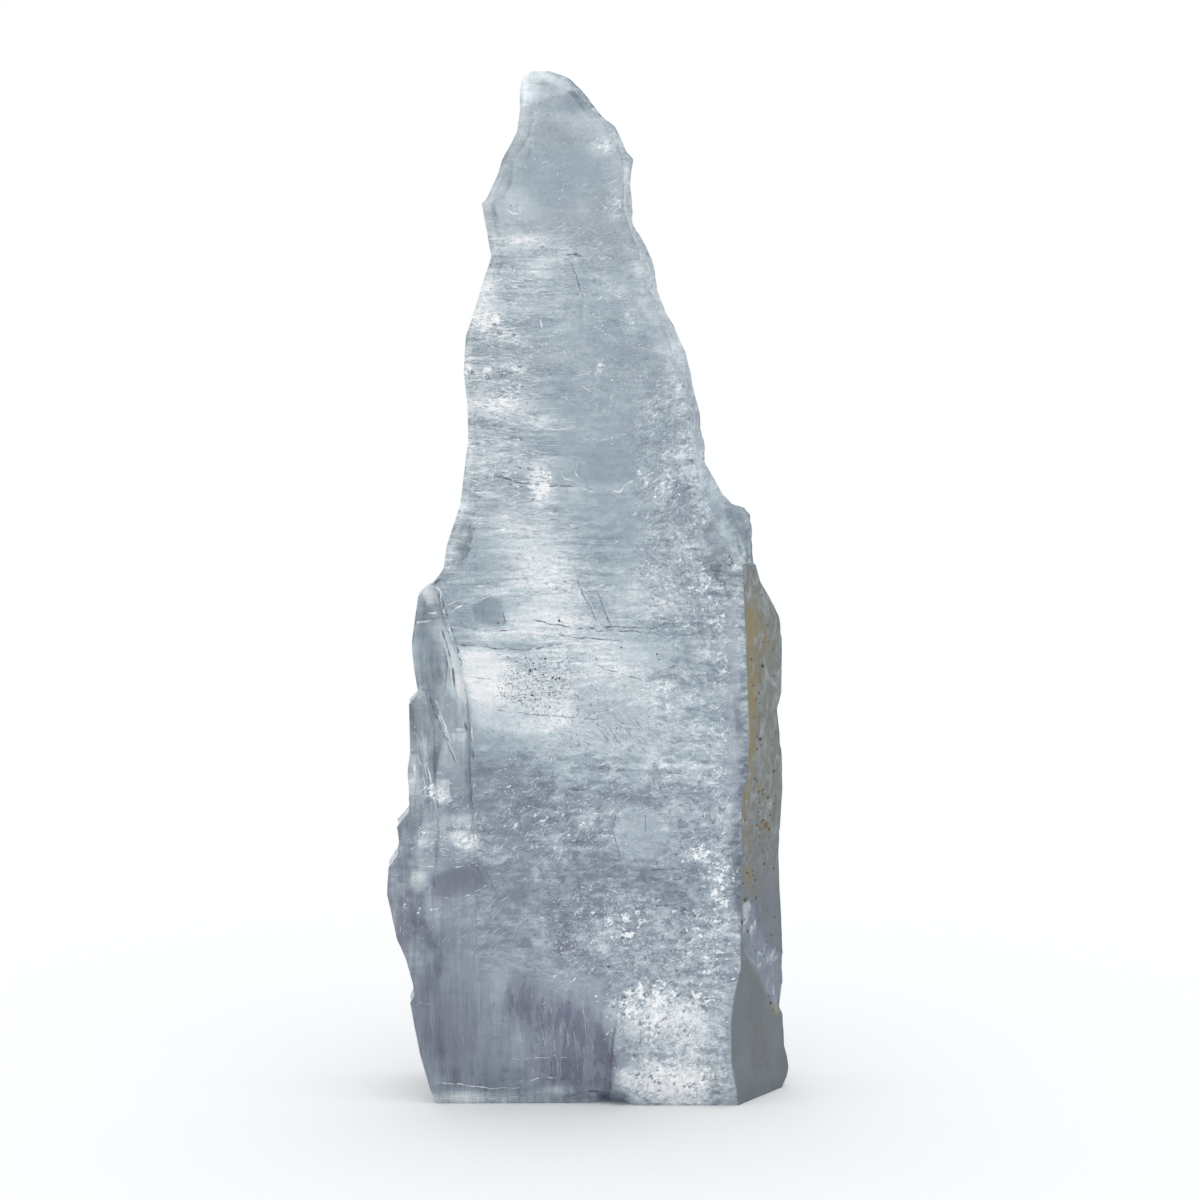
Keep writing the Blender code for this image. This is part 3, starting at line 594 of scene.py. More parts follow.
def body_attributes(x, y, z, kind):
    """What the crystal's material follows: its tone, with painted light and shade in it, its texture by place, and its
    frosting.
    """
    px, py = to_view(x, y, z)
    front = (kind == SHARDS) | (kind == PLATE_LEFT) | (kind == PLATE_RIGHT)
    plain, smoky = patches(CALM, px, py, 2.0), patches(SMOKY, px, py)
    lower = smooth((py - 735) / 90)
    tone = 0.47 - 0.07 * lower + 0.05 * smooth((235 - py) / 40) * smooth((py - 60) / 30) * 0
    # partly painted light: the light areas brighten the tone where light reflects off inner cleavage, the top facet and
    # the base
    tone = tone + add_up(LIGHT, px, py) - add_up(DARK, px, py)
    for corners, change, soft in FACETS:
        tone = tone + change * smooth(inside_of(list(corners), px, py) / (2 * soft) + 0.5)
    tone = tone + 0.04 * fractal(x / 6, 0, z / 5, 61, 3)
    patchwork = terraces(fractal((x - 0.5 * z) / 4.2, 0, (z + 0.3 * x) / 2.6, 65, 3, 0.6), 7, 0.25)
    small = terraces(fractal((x - 0.7 * z) / 1.9, 0, (z + 0.5 * x) / 1.3, 66, 3, 0.6), 5, 0.2)
    centre = smooth((px - 465) / 30) * smooth((735 - px) / 20) * smooth((py - 760) / 40)
    tone = tone + (0.07 * patchwork + 0.055 * small * np.maximum(centre, 0.3)) * (1 - 0.85 * plain) * np.maximum(lower, 0.35)
    front_tone = tone
    drift = fractal(x / 6, y / 6, z / 7, 62, 4)
    streaky = fractal((x + y) / 5, 0, (z + 0.1 * x) / 0.9, 67, 4, 0.6)
    windows = terraces(fractal(x / 7, y / 5, (z - 0.2 * x) / 4, 68, 3), 6, 0.2)
    tone = np.where(front, tone, 0.54 + 0.07 * drift + 0.05 * streaky)
    tone = np.where(kind == REAR, 0.63 + 0.07 * drift + 0.08 * streaky + 0.07 * windows, tone)
    tone = np.where(kind == LEFT_SIDE, 0.58 + 0.06 * drift + 0.07 * streaky + 0.08 * windows, tone)

    level = smooth((py - 205) / 40) * smooth((725 - py) / 70) * (1 - 0.68 * smooth((px - 530) / 60) * smooth((560 - py) / 60))
    level = level * (1 - 0.5 * smooth((px - 600) / 60))
    level = np.maximum(level, 0.42 * smooth((py - 230) / 40) * smooth((660 - py) / 60))
    slant = smooth((py - 720) / 50) * smooth((1010 - py) / 60)
    slant = np.maximum(slant, 0.8 * smooth((px - 620) / 40) * smooth((py - 330) / 60))
    even = np.maximum(smooth((px - 625) / 40) * smooth((py - 340) / 70), smooth((py - 760) / 60) * smooth((px - 480) / 90))
    even = even * (1 - 0.75 * smooth((px - 722) / 10) * smooth((py - 560) / 40))
    upright = smooth((py - 965) / 50) * smooth((625 - px) / 24)
    slant, even = slant * (1 - 0.8 * upright), even * (1 - 0.85 * upright)
    calm = 1 - 0.75 * plain * (1 - upright)
    level, slant, even = level * calm, slant * calm, even * calm
    top = smooth((240 - py) / 40)
    level, even = np.maximum(level, 0.20 * top), np.maximum(even, 0.20 * top)
    even = np.maximum(even, 0.42 * (1 - top) * (1 - 0.6 * plain) * smooth((940 - py) / 60))
    mixed = 0.5 + 0.5 * fractal(x / 9, y / 9, z / 9, 64, 2)
    level = np.where(front, level, 0.55 * mixed)
    slant = np.where(front, slant, 0.5 * (1 - mixed))
    even = np.where(front, even, 0.45)
    upright = np.where(front, upright, 0.0)

    # glint: where the white flaws and painted glints gather on the front
    glint = np.where(front, patches(GLINTS, px, py, 1.2), 0.22 + 0.3 * drift)
    speckle = fractal(x / 2.5, y / 2.5, z / 2.5, 31, 3)
    from_left, from_right = x - at(LEFT, z), at(RIGHT, z) - x
    from_edge = at(GROWTH_EDGE, z) - x
    frost = np.where(front, 0.10, 0.0)
    frost = np.where(kind == SHARDS, 0.62, frost)
    frost = np.where(front, np.maximum(frost, 0.75 * smooth((4.2 - from_left) / 3.4)), frost)
    frost = np.where(front & (z < 90), np.maximum(frost, 0.60 * smooth((3.6 - from_edge) / 1.8)), frost)
    frost = np.where(front & (z >= 79), np.maximum(frost, 0.70 * smooth((3.6 - from_edge) / 2.8)), frost)
    frost = np.where(front, np.maximum(frost, 0.95 * patches(((722, 530, 30, 48, 0, 1.0),), px, py)), frost)
    frost = np.where(front, np.maximum(frost, 0.6 * smooth((1.6 - z) / 1.0)), frost)
    frost = np.where((kind == SHARDS) & (z >= 79), 0.78, frost)
    frost = np.where(kind == LEFT_SIDE, 0.50 + 0.2 * speckle, frost)
    frost = np.where((kind == GROWTH) & (z >= 79.5), 0.70 + 0.15 * speckle, frost)
    frost = np.where(kind == REAR_FACE, 0.30 + 0.3 * speckle, frost)
    frost = np.where(kind == REAR, 0.10 + 0.10 * fractal(x / 7, 0, z / 6, 32, 3), frost)
    # painted shade: the growth rim above 79.5 mm faces right and its tone is set low, following the front's, for the
    # shade on that side
    tone = np.where((kind == GROWTH) & (z >= 79.5), 0.6 * front_tone + 0.21 + 0.04 * drift, tone)
    tone = np.where(front & (z >= 79), tone + 0.06 * smooth((3.6 - from_edge) / 2.8), tone)
    tone = np.where(kind == SHARDS, tone + 0.035, tone)
    tone = np.where(front & (z >= 79), tone + 0.08 * smooth((5.0 - from_left) / 4.0), tone)
    # the shards are polished flat, with fine upright lines
    shard = (kind == SHARDS) & (z < 79)
    level, slant, even = np.where(shard, 0.3 * level, level), np.where(shard, 0.25 * slant, slant), np.where(shard, 0.35 * even, even)
    upright = np.where(shard & (z < 66), 0.8, np.where(shard, 0.3, upright))
    # the cleavage steps down the left side show as painted shade, a fine dark line along each step, with a painted
    # highlight, a pale band, beside it
    for edge, back in ((STEP_A, STEP_A_BACK), (STEP_B, STEP_B_BACK)):
        off, open_ = x - at(edge, z), smooth((at(back, z) - 0.9) / 0.8)
        tone = np.where(front, tone - (0.15 if edge is STEP_A else 0.07) * open_ * np.exp(-(off / 0.20) ** 2), tone)
        tone = np.where(front, tone + 0.07 * open_ * np.exp(-((off + 1.0) / 0.55) ** 2), tone)
    stain = patches(STAIN, px, py) * (kind == GROWTH)
    smoke = np.where(front, smoky, 0.0) + 0.30 * lower * front
    # on the growth face: how plain it is, and where it has broken through to clear crystal
    smoke = np.where(kind == GROWTH, smooth((py - 800) / 120), smoke)
    glint = np.where(kind == GROWTH, np.where(z < 79, smooth(inside_of(BROKEN_PATCH, px, py) / 7 + 0.6), 0.2), glint)
    values = {"smoke": smoke, "tone": tone, "level": level, "slant": slant, "even": even, "upright": upright,
              "glint": glint, "frost": frost, "stain": stain}
    return {key: np.clip(value, 0, 1).reshape(-1) for key, value in values.items()}


# Orange-brown iron stain down the growth face's inner edge.
STAIN = (
    (750, 640, 7, 44, 0, 0.85), (751, 690, 7, 34, 0, 0.80), (749, 745, 6, 40, 0, 0.90),
    (760, 628, 9, 26, -16, 0.40), (765, 655, 8, 40, 0, 0.30), (746, 792, 10, 8, 0, 0.40),
    (761, 790, 5, 8, 0, 0.55), (767, 826, 5, 8, 0, 0.60), (747, 850, 4, 40, 0, 0.40), (744, 912, 5, 16, 0, 0.70),
    (750, 880, 7, 18, 0, 0.40), (774, 1008, 5, 10, -30, 0.80), (764, 740, 8, 30, 0, 0.25), (773, 870, 3, 10, 0, 0.35),
    (750, 970, 8, 10, 0, 0.20), (748, 700, 6, 40, 0, 0.60), (747, 752, 6, 30, 0, 0.70), (757, 606, 8, 14, 0, 0.25), (745, 800, 5, 30, 0, 0.35),
)


class Hull:
    """Tells how far inside the crystal a point is, and what the view's rays meet."""

    def __init__(self, body):
        mesh = body.data
        verts = [v.co.copy() for v in mesh.vertices]
        self.tree = BVHTree.FromPolygons(verts, [tuple(p.vertices) for p in mesh.polygons])
        self.matte = [p.material_index == 1 for p in mesh.polygons]
        self.eye = TARGET + Vector((0.0, -COS_E, SIN_E)) * DISTANCE

    def depth(self, points):
        """Millimetres inside the surface, negative outside, for datum points."""
        out = np.empty(len(points))
        nearest = self.tree.find_nearest
        for n, (x, y, z) in enumerate(points.tolist()):
            p = Vector(((x - DATUM_X) * MM, y * MM, z * MM))
            hit, normal, _, distance = nearest(p)
            out[n] = distance if (p - hit).dot(normal) < 0 else -distance
        return out / MM

    def seen(self, px, py):
        """The surface point and normal at a place in the view, in datum millimetres."""
        a, b = (600.0 - py) / FOCAL, (px - 600.0) / FOCAL
        ray = Vector((b, COS_E + a * SIN_E, -SIN_E + a * COS_E)).normalized()
        hit, normal, _, _ = self.tree.ray_cast(self.eye, ray)
        if hit is None:
            return None, None
        return np.array([hit.x / MM + DATUM_X, hit.y / MM, hit.z / MM]), np.array(normal)


# ---------------------------------------------------------- lace-edged sheets


def lace(u, v, keep, place, tone, thickness):
    """A closed thin sheet over the grid u by v where keep is above zero, with smooth ragged outlines.

    place(u, v) gives the sheet's points and its thickness direction. The outline
    is shared by both sides, so each scrap is a closed lens."""
    rows, cols = keep.shape
    keep = keep.copy()
    keep[0], keep[-1], keep[:, 0], keep[:, -1] = -1, -1, -1, -1
    field = keep.reshape(-1)
    tone = tone.reshape(-1)
    grid_u, grid_v = u.reshape(-1), v.reshape(-1)
    r, c = np.meshgrid(np.arange(rows - 1), np.arange(cols - 1), indexing="ij")
    n = (r * cols + c).reshape(-1)
    flip = ((r + c) % 2).reshape(-1).astype(bool)
    a, b, d, e = n, n + 1, n + cols + 1, n + cols
    first = np.where(flip[:, None], np.stack([a, b, d], 1), np.stack([a, b, e], 1))
    second = np.where(flip[:, None], np.stack([a, d, e], 1), np.stack([b, d, e], 1))
    tri = np.concatenate([first, second])
    good = field[tri] > 0
    total = good.sum(1)

    def rotated(sel, want):
        t, g = tri[sel], good[sel]
        shift = np.argmax(g == want, axis=1)
        index = (np.arange(3)[None, :] + shift[:, None]) % 3
        return np.take_along_axis(t, index, 1)

    whole = tri[total == 3]
    one = rotated(total == 1, True)
    two = rotated(total == 2, False)
    pairs = np.concatenate([one[:, [0, 1]], one[:, [0, 2]], two[:, [0, 1]], two[:, [0, 2]]])
    lo, hi = pairs.min(1), pairs.max(1)
    keys = lo.astype(np.int64) * (rows * cols) + hi
    unique, back = np.unique(keys, return_inverse=True)
    lo_u, hi_u = unique // (rows * cols), unique % (rows * cols)
    t = np.clip(field[lo_u] / (field[lo_u] - field[hi_u]), 0.06, 0.94)
    n1, n2 = len(one), len(two)
    cut = back.reshape(-1)
    i_ab, i_ac = cut[:n1], cut[n1:2 * n1]
    j_ab, j_ac = cut[2 * n1:2 * n1 + n2], cut[2 * n1 + n2:]

    used, where = np.unique(np.concatenate([whole.reshape(-1), one[:, 0], two[:, 1], two[:, 2]]), return_inverse=True)
    where = where.reshape(-1)
    m = len(used)
    w = where[:whole.size].reshape(-1, 3)
    o = where[whole.size:whole.size + n1]
    t1 = where[whole.size + n1:whole.size + n1 + n2]
    t2 = where[whole.size + n1 + n2:]
    rim = 2 * m
    inner_u, inner_v, inner_t = grid_u[used], grid_v[used], tone[used]
    rim_u = grid_u[lo_u] * (1 - t) + grid_u[hi_u] * t
    rim_v = grid_v[lo_u] * (1 - t) + grid_v[hi_u] * t
    rim_t = tone[lo_u] * (1 - t) + tone[hi_u] * t
    p, direction = place(inner_u, inner_v)
    q, _ = place(rim_u, rim_v)
    half = 0.5 * thickness * np.asarray(direction)
    verts = np.concatenate([p - half, p + half, q])
    tones = np.concatenate([inner_t, inner_t, rim_t])
    front = [w, np.stack([o, rim + i_ab, rim + i_ac], 1)]
    four = np.stack([rim + j_ab, t1, t2, rim + j_ac], 1)
    behind = [w[:, ::-1] + m, np.stack([o + m, rim + i_ac, rim + i_ab], 1)]
    four_behind = np.stack([rim + j_ac, t2 + m, t1 + m, rim + j_ab], 1)
    faces = np.concatenate(front + behind).tolist() + np.concatenate([four, four_behind]).tolist()
    return verts, faces, tones


def join(parts):
    """Adds up several (verts, faces, tones) lists."""
    verts, faces, tones, offset = [], [], [], 0
    for v, f, t in parts:
        if not len(v):
            continue
        verts.append(v)
        faces += [[n + offset for n in face] for face in f]
        tones.append(t)
        offset += len(v)
    return np.concatenate(verts), faces, np.concatenate(tones)


def front_sheet(hull, depth, undulation, pitch, seed, keep_rule, tone_rule, thickness=0.05):
    """A veil more or less parallel to the front plane, some way behind it."""
    xs = np.arange(-33.0, 30.0, pitch)
    zs = np.arange(0.4, 149.6, pitch)
    u, v = np.meshgrid(xs, zs)

    def lie(x, z):
        return FRONT_Y + depth + undulation * fractal(x / 14, 0, z / 18, seed, 2) + 0.12 * fractal(x / 2.2, 0, z / 2.2, seed + 5, 2)

    y = lie(u, v)
    px, py = to_view(u, seen_y(y), v)
    keep = keep_rule(u, v, px, py)
    tone = tone_rule(u, v, px, py)
    near = keep > -0.25
    room = np.full(u.shape, -1.0)
    if near.any():
        room[near] = hull.depth(np.stack([u[near], y[near], v[near]], 1))
    keep = np.minimum(keep, (room - 0.22) * 1.2)

    def place(x, z):
        return np.stack([x, lie(x, z), z], 1), (0.0, 1.0, 0.0)

    return lace(u, v, keep, place, tone, thickness)


def smoke(hull):
    """Purple-grey sheets that end in upright hairlines, deep in the lower half."""
    def keep(x, z, px, py):
        smoky = patches(SMOKY, px, py)
        upright = fractal((x - 0.10 * z) / 0.55, 0, z / 9.0, 171, 4, 0.6)
        return 1.2 * smoky * smooth((py - 930) / 90) + 1.5 * upright - 0.84 + 0.2 * fractal(x / 2, 0, z / 2, 172, 3)

    def tone(x, z, px, py):
        upright = fractal((x - 0.10 * z) / 0.45, 0, z / 8.0, 173, 3, 0.6)
        within = smooth((patches(SMOKY, px, py) * smooth((py - 930) / 90) - 0.25) / 0.6)
        return np.clip(0.95 - 0.55 * within + 0.6 * upright, 0, 1)

    return front_sheet(hull, 6.2, 0.8, 0.32, 213, keep, tone)


# Cracks that run back into the slab almost edge-on to the view:
# (points in the view, how far back, fall per mm going back, tone).
SHELVES = (
    (((575, 627), (615, 627), (655, 628), (690, 626), (706, 624)), 3.0, -0.02, 0.95),
    (((457, 645), (477, 646), (502, 649), (525, 651), (550, 645), (566, 644)), 2.4, 0.10, 0.90),
    (((467, 479), (502, 477), (522, 484), (550, 486), (577, 487)), 2.4, 0.06, 0.85),
    (((585, 766), (615, 771), (652, 770), (692, 776)), 2.4, 0.04, 0.85),
    (((410, 626), (430, 622), (446, 618)), 3.0, -0.05, 0.85),
    (((432, 1094), (470, 1096), (500, 1097), (540, 1096)), 3.0, 0.02, 0.90),
)


def shelf(hull, index, spec):
    points, reach, fall, tone = spec
    spots = []
    for px, py in points:
        x, z = from_view(px, py, FRONT_Y)
        spots.append((float(x), float(z)))
    xs, zs = zip(*spots)
    pitch = 0.30
    u, v = np.meshgrid(np.arange(xs[0] - 0.6, xs[-1] + 0.6, pitch), np.arange(-0.4, reach + 0.8, pitch))

    def lie(x, back):
        z = np.interp(x, xs, zs) + 0.14 * fractal(x / 1.3, back / 2.5, 0, 300 + index, 3)
        return z + fall * back + 0.05 * fractal(x / 3, back / 2, 0, 330 + index, 2)

    y = FRONT_Y + 0.25 + v
    z = lie(u, v)
    ragged = fractal(u / 2.2, v / 1.6, 0, 360 + index, 4, 0.6)
    keep = np.minimum(0.9 - (v / reach) ** 2 + 0.8 * ragged, 0.6 + 0.8 * ragged + 0.5 * np.exp(-v))
    keep = np.minimum(keep, np.minimum(u - xs[0] + 0.3, xs[-1] - u + 0.3) + 0.4 * ragged)
    room = hull.depth(np.stack([u.reshape(-1), y.reshape(-1), z.reshape(-1)], 1)).reshape(u.shape)
    keep = np.minimum(keep, (room - 0.12) * 2)
    keep = np.where((u < at(LEFT, z) + 0.9) | (u > at(RIGHT, z) - 0.9), -1.0, keep)
    shade = np.clip(tone + 0.25 * ragged - 0.15 * smooth(v / reach), 0, 1)

    def place(x, back):
        return np.stack([x, FRONT_Y + 0.25 + back, lie(x, back)], 1), (0.0, 0.0, 1.0)

    return lace(u, v, keep, place, shade, 0.05)


# ------------------------------------------------------------ marks in the skin

# Hairline cracks in the view, dark ones with painted shade along them, bright ones painted highlights: (points, width
# in mm, ragged, bright).
HAIRLINES = (
    (((434, 577), (440, 595), (446, 612), (452, 630), (457, 647), (462, 670)), 0.20, 0.10, 0),
    (((462, 668), (465, 700), (468, 722), (471, 745), (474, 762)), 0.17, 0.10, 0),
    (((437, 590), (443, 608), (449, 628), (454, 646)), 0.16, 0.20, 1),
    (((441, 630), (447, 650), (452, 670), (455, 695), (462, 717), (467, 735)), 0.14, 0.15, 0),
    (((439, 632), (445, 652), (450, 672), (453, 697)), 0.14, 0.20, 1),
    (((467, 690), (470, 715), (473, 742)), 0.13, 0.20, 1),
    (((441, 645), (447, 667), (445, 687), (440, 705), (435, 722)), 0.08, 0.15, 0),
    (((431, 700), (440, 724), (449, 750), (456, 767)), 0.14, 0.12, 0),
    (((434, 700), (443, 724), (452, 749)), 0.13, 0.20, 1),
    (((410, 626), (418, 624), (427, 623), (441, 620)), 0.19, 0.15, 1),
    (((452, 733), (459, 731), (466, 732)), 0.22, 0.30, 1),
    (((432, 776), (440, 774), (446, 775)), 0.22, 0.30, 1),
    (((431, 760), (433, 778), (436, 796)), 0.11, 0.20, 0),
    (((411, 757), (414, 768), (416, 780)), 0.19, 0.25, 1),
    (((427, 687), (430, 700), (433, 712), (437, 722)), 0.18, 0.3, 0),
    (((437, 722), (442, 735), (447, 748), (453, 757)), 0.10, 0.3, 0),
    (((406, 697), (415, 692), (425, 687)), 0.14, 0.3, 1),
    (((418, 745), (424, 775), (430, 812)), 0.08, 0.2, 0),
    (((424, 748), (430, 780), (436, 810)), 0.10, 0.2, 1),
    (((410, 627), (420, 623), (431, 621), (446, 618)), 0.18, 0.3, 0),
    (((427, 614), (436, 615), (445, 612)), 0.16, 0.4, 1),
    (((532, 620), (552, 624), (575, 628)), 0.09, 0.3, 0),
    (((575, 628), (598, 628), (615, 627), (635, 628), (655, 629)), 0.16, 0.3, 0),
    (((577, 630), (615, 631), (655, 632), (690, 630)), 0.08, 0.5, 0),
    (((655, 626), (672, 624), (690, 624), (704, 622)), 0.09, 0.5, 0),
    (((470, 629), (490, 631), (505, 630), (520, 630)), 0.07, 0.5, 0),
    (((555, 634), (568, 636), (590, 639), (606, 641)), 0.07, 0.5, 0),
    (((577, 636), (600, 639), (625, 642)), 0.07, 0.3, 0),
    (((457, 645), (477, 646), (502, 649), (525, 651), (540, 648), (550, 645), (565, 644)), 0.10, 0.4, 0),
    (((594, 652), (597, 664), (607, 669), (627, 676), (644, 681)), 0.10, 0.4, 0),
    (((646, 678), (660, 672), (672, 668), (680, 665)), 0.08, 0.8, 0),
    (((620, 609), (630, 605), (642, 604), (650, 606), (662, 605)), 0.06, 0.7, 0),
    (((467, 676), (480, 678), (490, 679), (506, 683), (520, 686)), 0.07, 0.4, 0),
    (((495, 710), (530, 714), (565, 717), (602, 720)), 0.07, 0.2, 0),
    (((497, 712), (540, 717), (590, 721), (640, 728)), 0.05, 0.2, 1),
    (((585, 766), (615, 771), (652, 770), (690, 776)), 0.06, 0.2, 0),
    (((570, 790), (582, 790), (595, 791)), 0.07, 0.2, 0),
    (((652, 773), (654, 781), (656, 786)), 0.08, 0.3, 0),
    (((590, 717), (605, 712), (622, 705), (645, 701), (665, 699), (690, 702)), 0.09, 0.6, 1),
    (((622, 707), (645, 704), (668, 704)), 0.07, 0.6, 1),
    (((575, 572), (582, 592), (590, 608), (599, 626)), 0.09, 0.3, 0),
    (((597, 590), (604, 610), (611, 627)), 0.09, 0.3, 0),
    (((581, 573), (588, 595), (598, 622)), 0.06, 0.3, 1),
    (((450, 612), (462, 606), (475, 602), (489, 596), (497, 588)), 0.10, 0.5, 1),
    (((445, 606), (460, 600), (480, 597)), 0.06, 0.5, 1),
    (((474, 587), (488, 586), (498, 587)), 0.10, 0.5, 1),
    (((502, 588), (520, 582), (540, 577), (556, 574)), 0.07, 0.6, 1),
    (((506, 625), (504, 614), (501, 602)), 0.08, 0.3, 0),
    (((470, 479), (485, 478), (502, 477), (522, 484), (550, 486), (575, 487)), 0.09, 0.4, 0),
    (((478, 484), (500, 482), (520, 486)), 0.06, 0.4, 0),
    (((465, 492), (490, 490), (520, 492)), 0.05, 0.4, 0),
    (((465, 476), (477, 471), (497, 470), (512, 472)), 0.10, 0.4, 1),
    (((475, 409), (487, 408), (500, 404), (512, 412), (530, 417), (550, 421), (567, 419)), 0.14, 0.5, 1),
    (((510, 405), (517, 397), (527, 395), (540, 394)), 0.10, 0.5, 1),
    (((502, 422), (525, 425), (545, 429), (565, 430), (576, 426)), 0.11, 0.5, 1),
    (((540, 317), (542, 325), (544, 335)), 0.09, 0.5, 1),
    (((580, 285), (583, 291), (585, 297)), 0.07, 0.3, 1),
    (((570, 260), (572, 267), (577, 280), (582, 291), (584, 300)), 0.07, 0.4, 0),
    (((554, 255), (566, 251), (577, 249)), 0.26, 0.2, 1),
    (((566, 255), (575, 254), (584, 257)), 0.30, 0.2, 0),
    (((551, 250), (562, 246), (578, 243)), 0.07, 0.3, 1),
    (((505, 208), (512, 213), (518, 214), (525, 210)), 0.08, 0.4, 1),
    (((487, 230), (497, 236), (503, 243)), 0.08, 0.4, 1),
    (((600, 207), (610, 201), (620, 195)), 0.07, 0.4, 1),
    (((600, 220), (612, 213), (622, 205)), 0.07, 0.4, 1),
    (((580, 487), (590, 491), (600, 492)), 0.08, 0.9, 1),
    (((612, 491), (620, 489), (628, 483), (636, 479)), 0.12, 0.9, 1),
    (((577, 462), (576, 472), (579, 482)), 0.10, 0.9, 1),
    (((584, 440), (600, 439), (610, 441)), 0.04, 0.5, 1),
    (((561, 473), (565, 479), (572, 480)), 0.09, 0.3, 1),
    (((705, 500), (715, 511), (727, 522), (742, 533)), 0.07, 0.3, 0),
    (((703, 506), (714, 518), (728, 532), (741, 545)), 0.06, 0.3, 1),
    (((700, 512), (712, 526), (724, 541)), 0.06, 0.3, 0),
    (((420, 912), (430, 910), (441, 908)), 0.12, 0.3, 1),
    (((597, 837), (606, 836), (616, 837)), 0.14, 0.3, 1),
    (((592, 833), (600, 836), (612, 838)), 0.08, 0.3, 1),
    (((568, 874), (560, 884), (557, 890)), 0.10, 0.4, 0),
    (((452, 867), (468, 866), (482, 865)), 0.07, 0.4, 1),
    (((435, 897), (450, 899), (470, 896), (490, 884)), 0.08, 0.5, 1),
    (((482, 865), (490, 880), (495, 893)), 0.07, 0.4, 0),
    (((612, 866), (640, 872), (670, 868), (700, 872)), 0.05, 0.3, 0),
    (((617, 812), (612, 830), (622, 862)), 0.05, 0.4, 0),
    (((642, 802), (665, 815), (674, 837)), 0.05, 0.4, 0),
    (((642, 806), (646, 820), (645, 833)), 0.05, 0.4, 0),
    (((520, 1081), (532, 1081), (540, 1079), (556, 1077)), 0.06, 0.5, 1),
    (((510, 1059), (540, 1058), (570, 1057)), 0.05, 0.5, 1),
    (((434, 1083), (460, 1084), (490, 1089), (520, 1088)), 0.07, 0.4, 1),
    (((565, 1098), (580, 1093), (595, 1091), (615, 1092)), 0.16, 0.3, 0),
    (((410, 992), (420, 988), (430, 985)), 0.10, 0.4, 0),
    (((409, 1003), (420, 1003), (431, 1005)), 0.08, 0.4, 1),
    (((448, 870), (430, 868), (415, 866)), 0.06, 0.5, 1),
    (((424, 905), (426, 940), (423, 975)), 0.06, 0.5, 0),
    (((409, 628), (408, 650), (411, 672), (415, 686)), 0.12, 0.3, 1),
    (((411, 588), (420, 584), (433, 581), (440, 592), (441, 603)), 0.14, 0.4, 1),
    (((407, 698), (408, 720), (406, 745), (409, 768)), 0.12, 0.3, 1),
    (((456, 650), (461, 676), (466, 706), (470, 742)), 0.12, 0.2, 1),
    (((432, 700), (441, 726), (450, 750), (457, 766)), 0.10, 0.2, 1),
)


class Skin:
    """How deep the surface lies, seen straight on from one side, over that side's own u and v."""

    def __init__(self, hull, side="front", pitch=0.25):
        self.side, self.pitch = side, pitch
        flat = side in ("front", "rear")
        self.xs = np.arange(-33.0, 30.0, pitch) if flat else np.arange(-10.6, 10.6, pitch)
        self.zs = np.arange(0.02, 150.0, pitch)
        self.y = np.full((len(self.zs), len(self.xs)), np.nan)
        cast = hull.tree.ray_cast
        way = {"front": (0, 1, 0), "rear": (0, -1, 0), "left": (1, 0, 0), "right": (-1, 0, 0)}[side]
        self.way = np.array(way, float)
        forward = Vector(way)
        for r, z in enumerate(self.zs.tolist()):
            low, high = (float(at(LEFT, z)) - 1.0, float(at(RIGHT, z)) + 1.0) if flat else (-11.0, 11.0)
            for c, u in enumerate(self.xs.tolist()):
                if not low < u < high:
                    continue
                start = Vector(((u - DATUM_X) * MM, 0.0, z * MM)) if flat else Vector((0.0, -u * MM, z * MM))
                hit, normal, index, _ = cast(start - forward * 0.06, forward)
                if hit is not None and not hull.matte[index] and -normal.dot(forward) > (0.0 if side == "front" else 0.45):
                    self.y[r, c] = hit.y / MM if flat else hit.x / MM + DATUM_X
        # no sheet bridges a place where the surface jumps from one level to another
        filled = np.nan_to_num(self.y, nan=99.0)
        jump = np.zeros(self.y.shape, bool)
        across = np.abs(np.diff(filled, axis=1)) > 0.32
        down = np.abs(np.diff(filled, axis=0)) > 0.32
        jump[:, 1:] |= across
        jump[:, :-1] |= across
        jump[1:] |= down
        jump[:-1] |= down
        self.jump = jump

    def jumps(self, x, z):
        c = np.clip(np.round((x - self.xs[0]) / self.pitch), 0, len(self.xs) - 1).astype(int)
        r = np.clip(np.round((z - self.zs[0]) / self.pitch), 0, len(self.zs) - 1).astype(int)
        return self.jump[r, c]

    def at(self, x, z):
        c = np.clip((x - self.xs[0]) / self.pitch, 0, len(self.xs) - 1.001)
        r = np.clip((z - self.zs[0]) / self.pitch, 0, len(self.zs) - 1.001)
        ci, ri = c.astype(int), r.astype(int)
        cf, rf = c - ci, r - ri
        y = (self.y[ri, ci] * (1 - cf) + self.y[ri, ci + 1] * cf) * (1 - rf)
        return y + (self.y[ri + 1, ci] * (1 - cf) + self.y[ri + 1, ci + 1] * cf) * rf

    def place(self, inward):
        """The points of a sheet that lies in the skin, for lace."""
        def place(u, v):
            deep = self.at(u, v) + inward * (self.way[0] + self.way[1])
            points = [u, deep, v] if self.side in ("front", "rear") else [deep, -u, v]
            return np.stack(points, 1), tuple(np.abs(self.way))
        return place


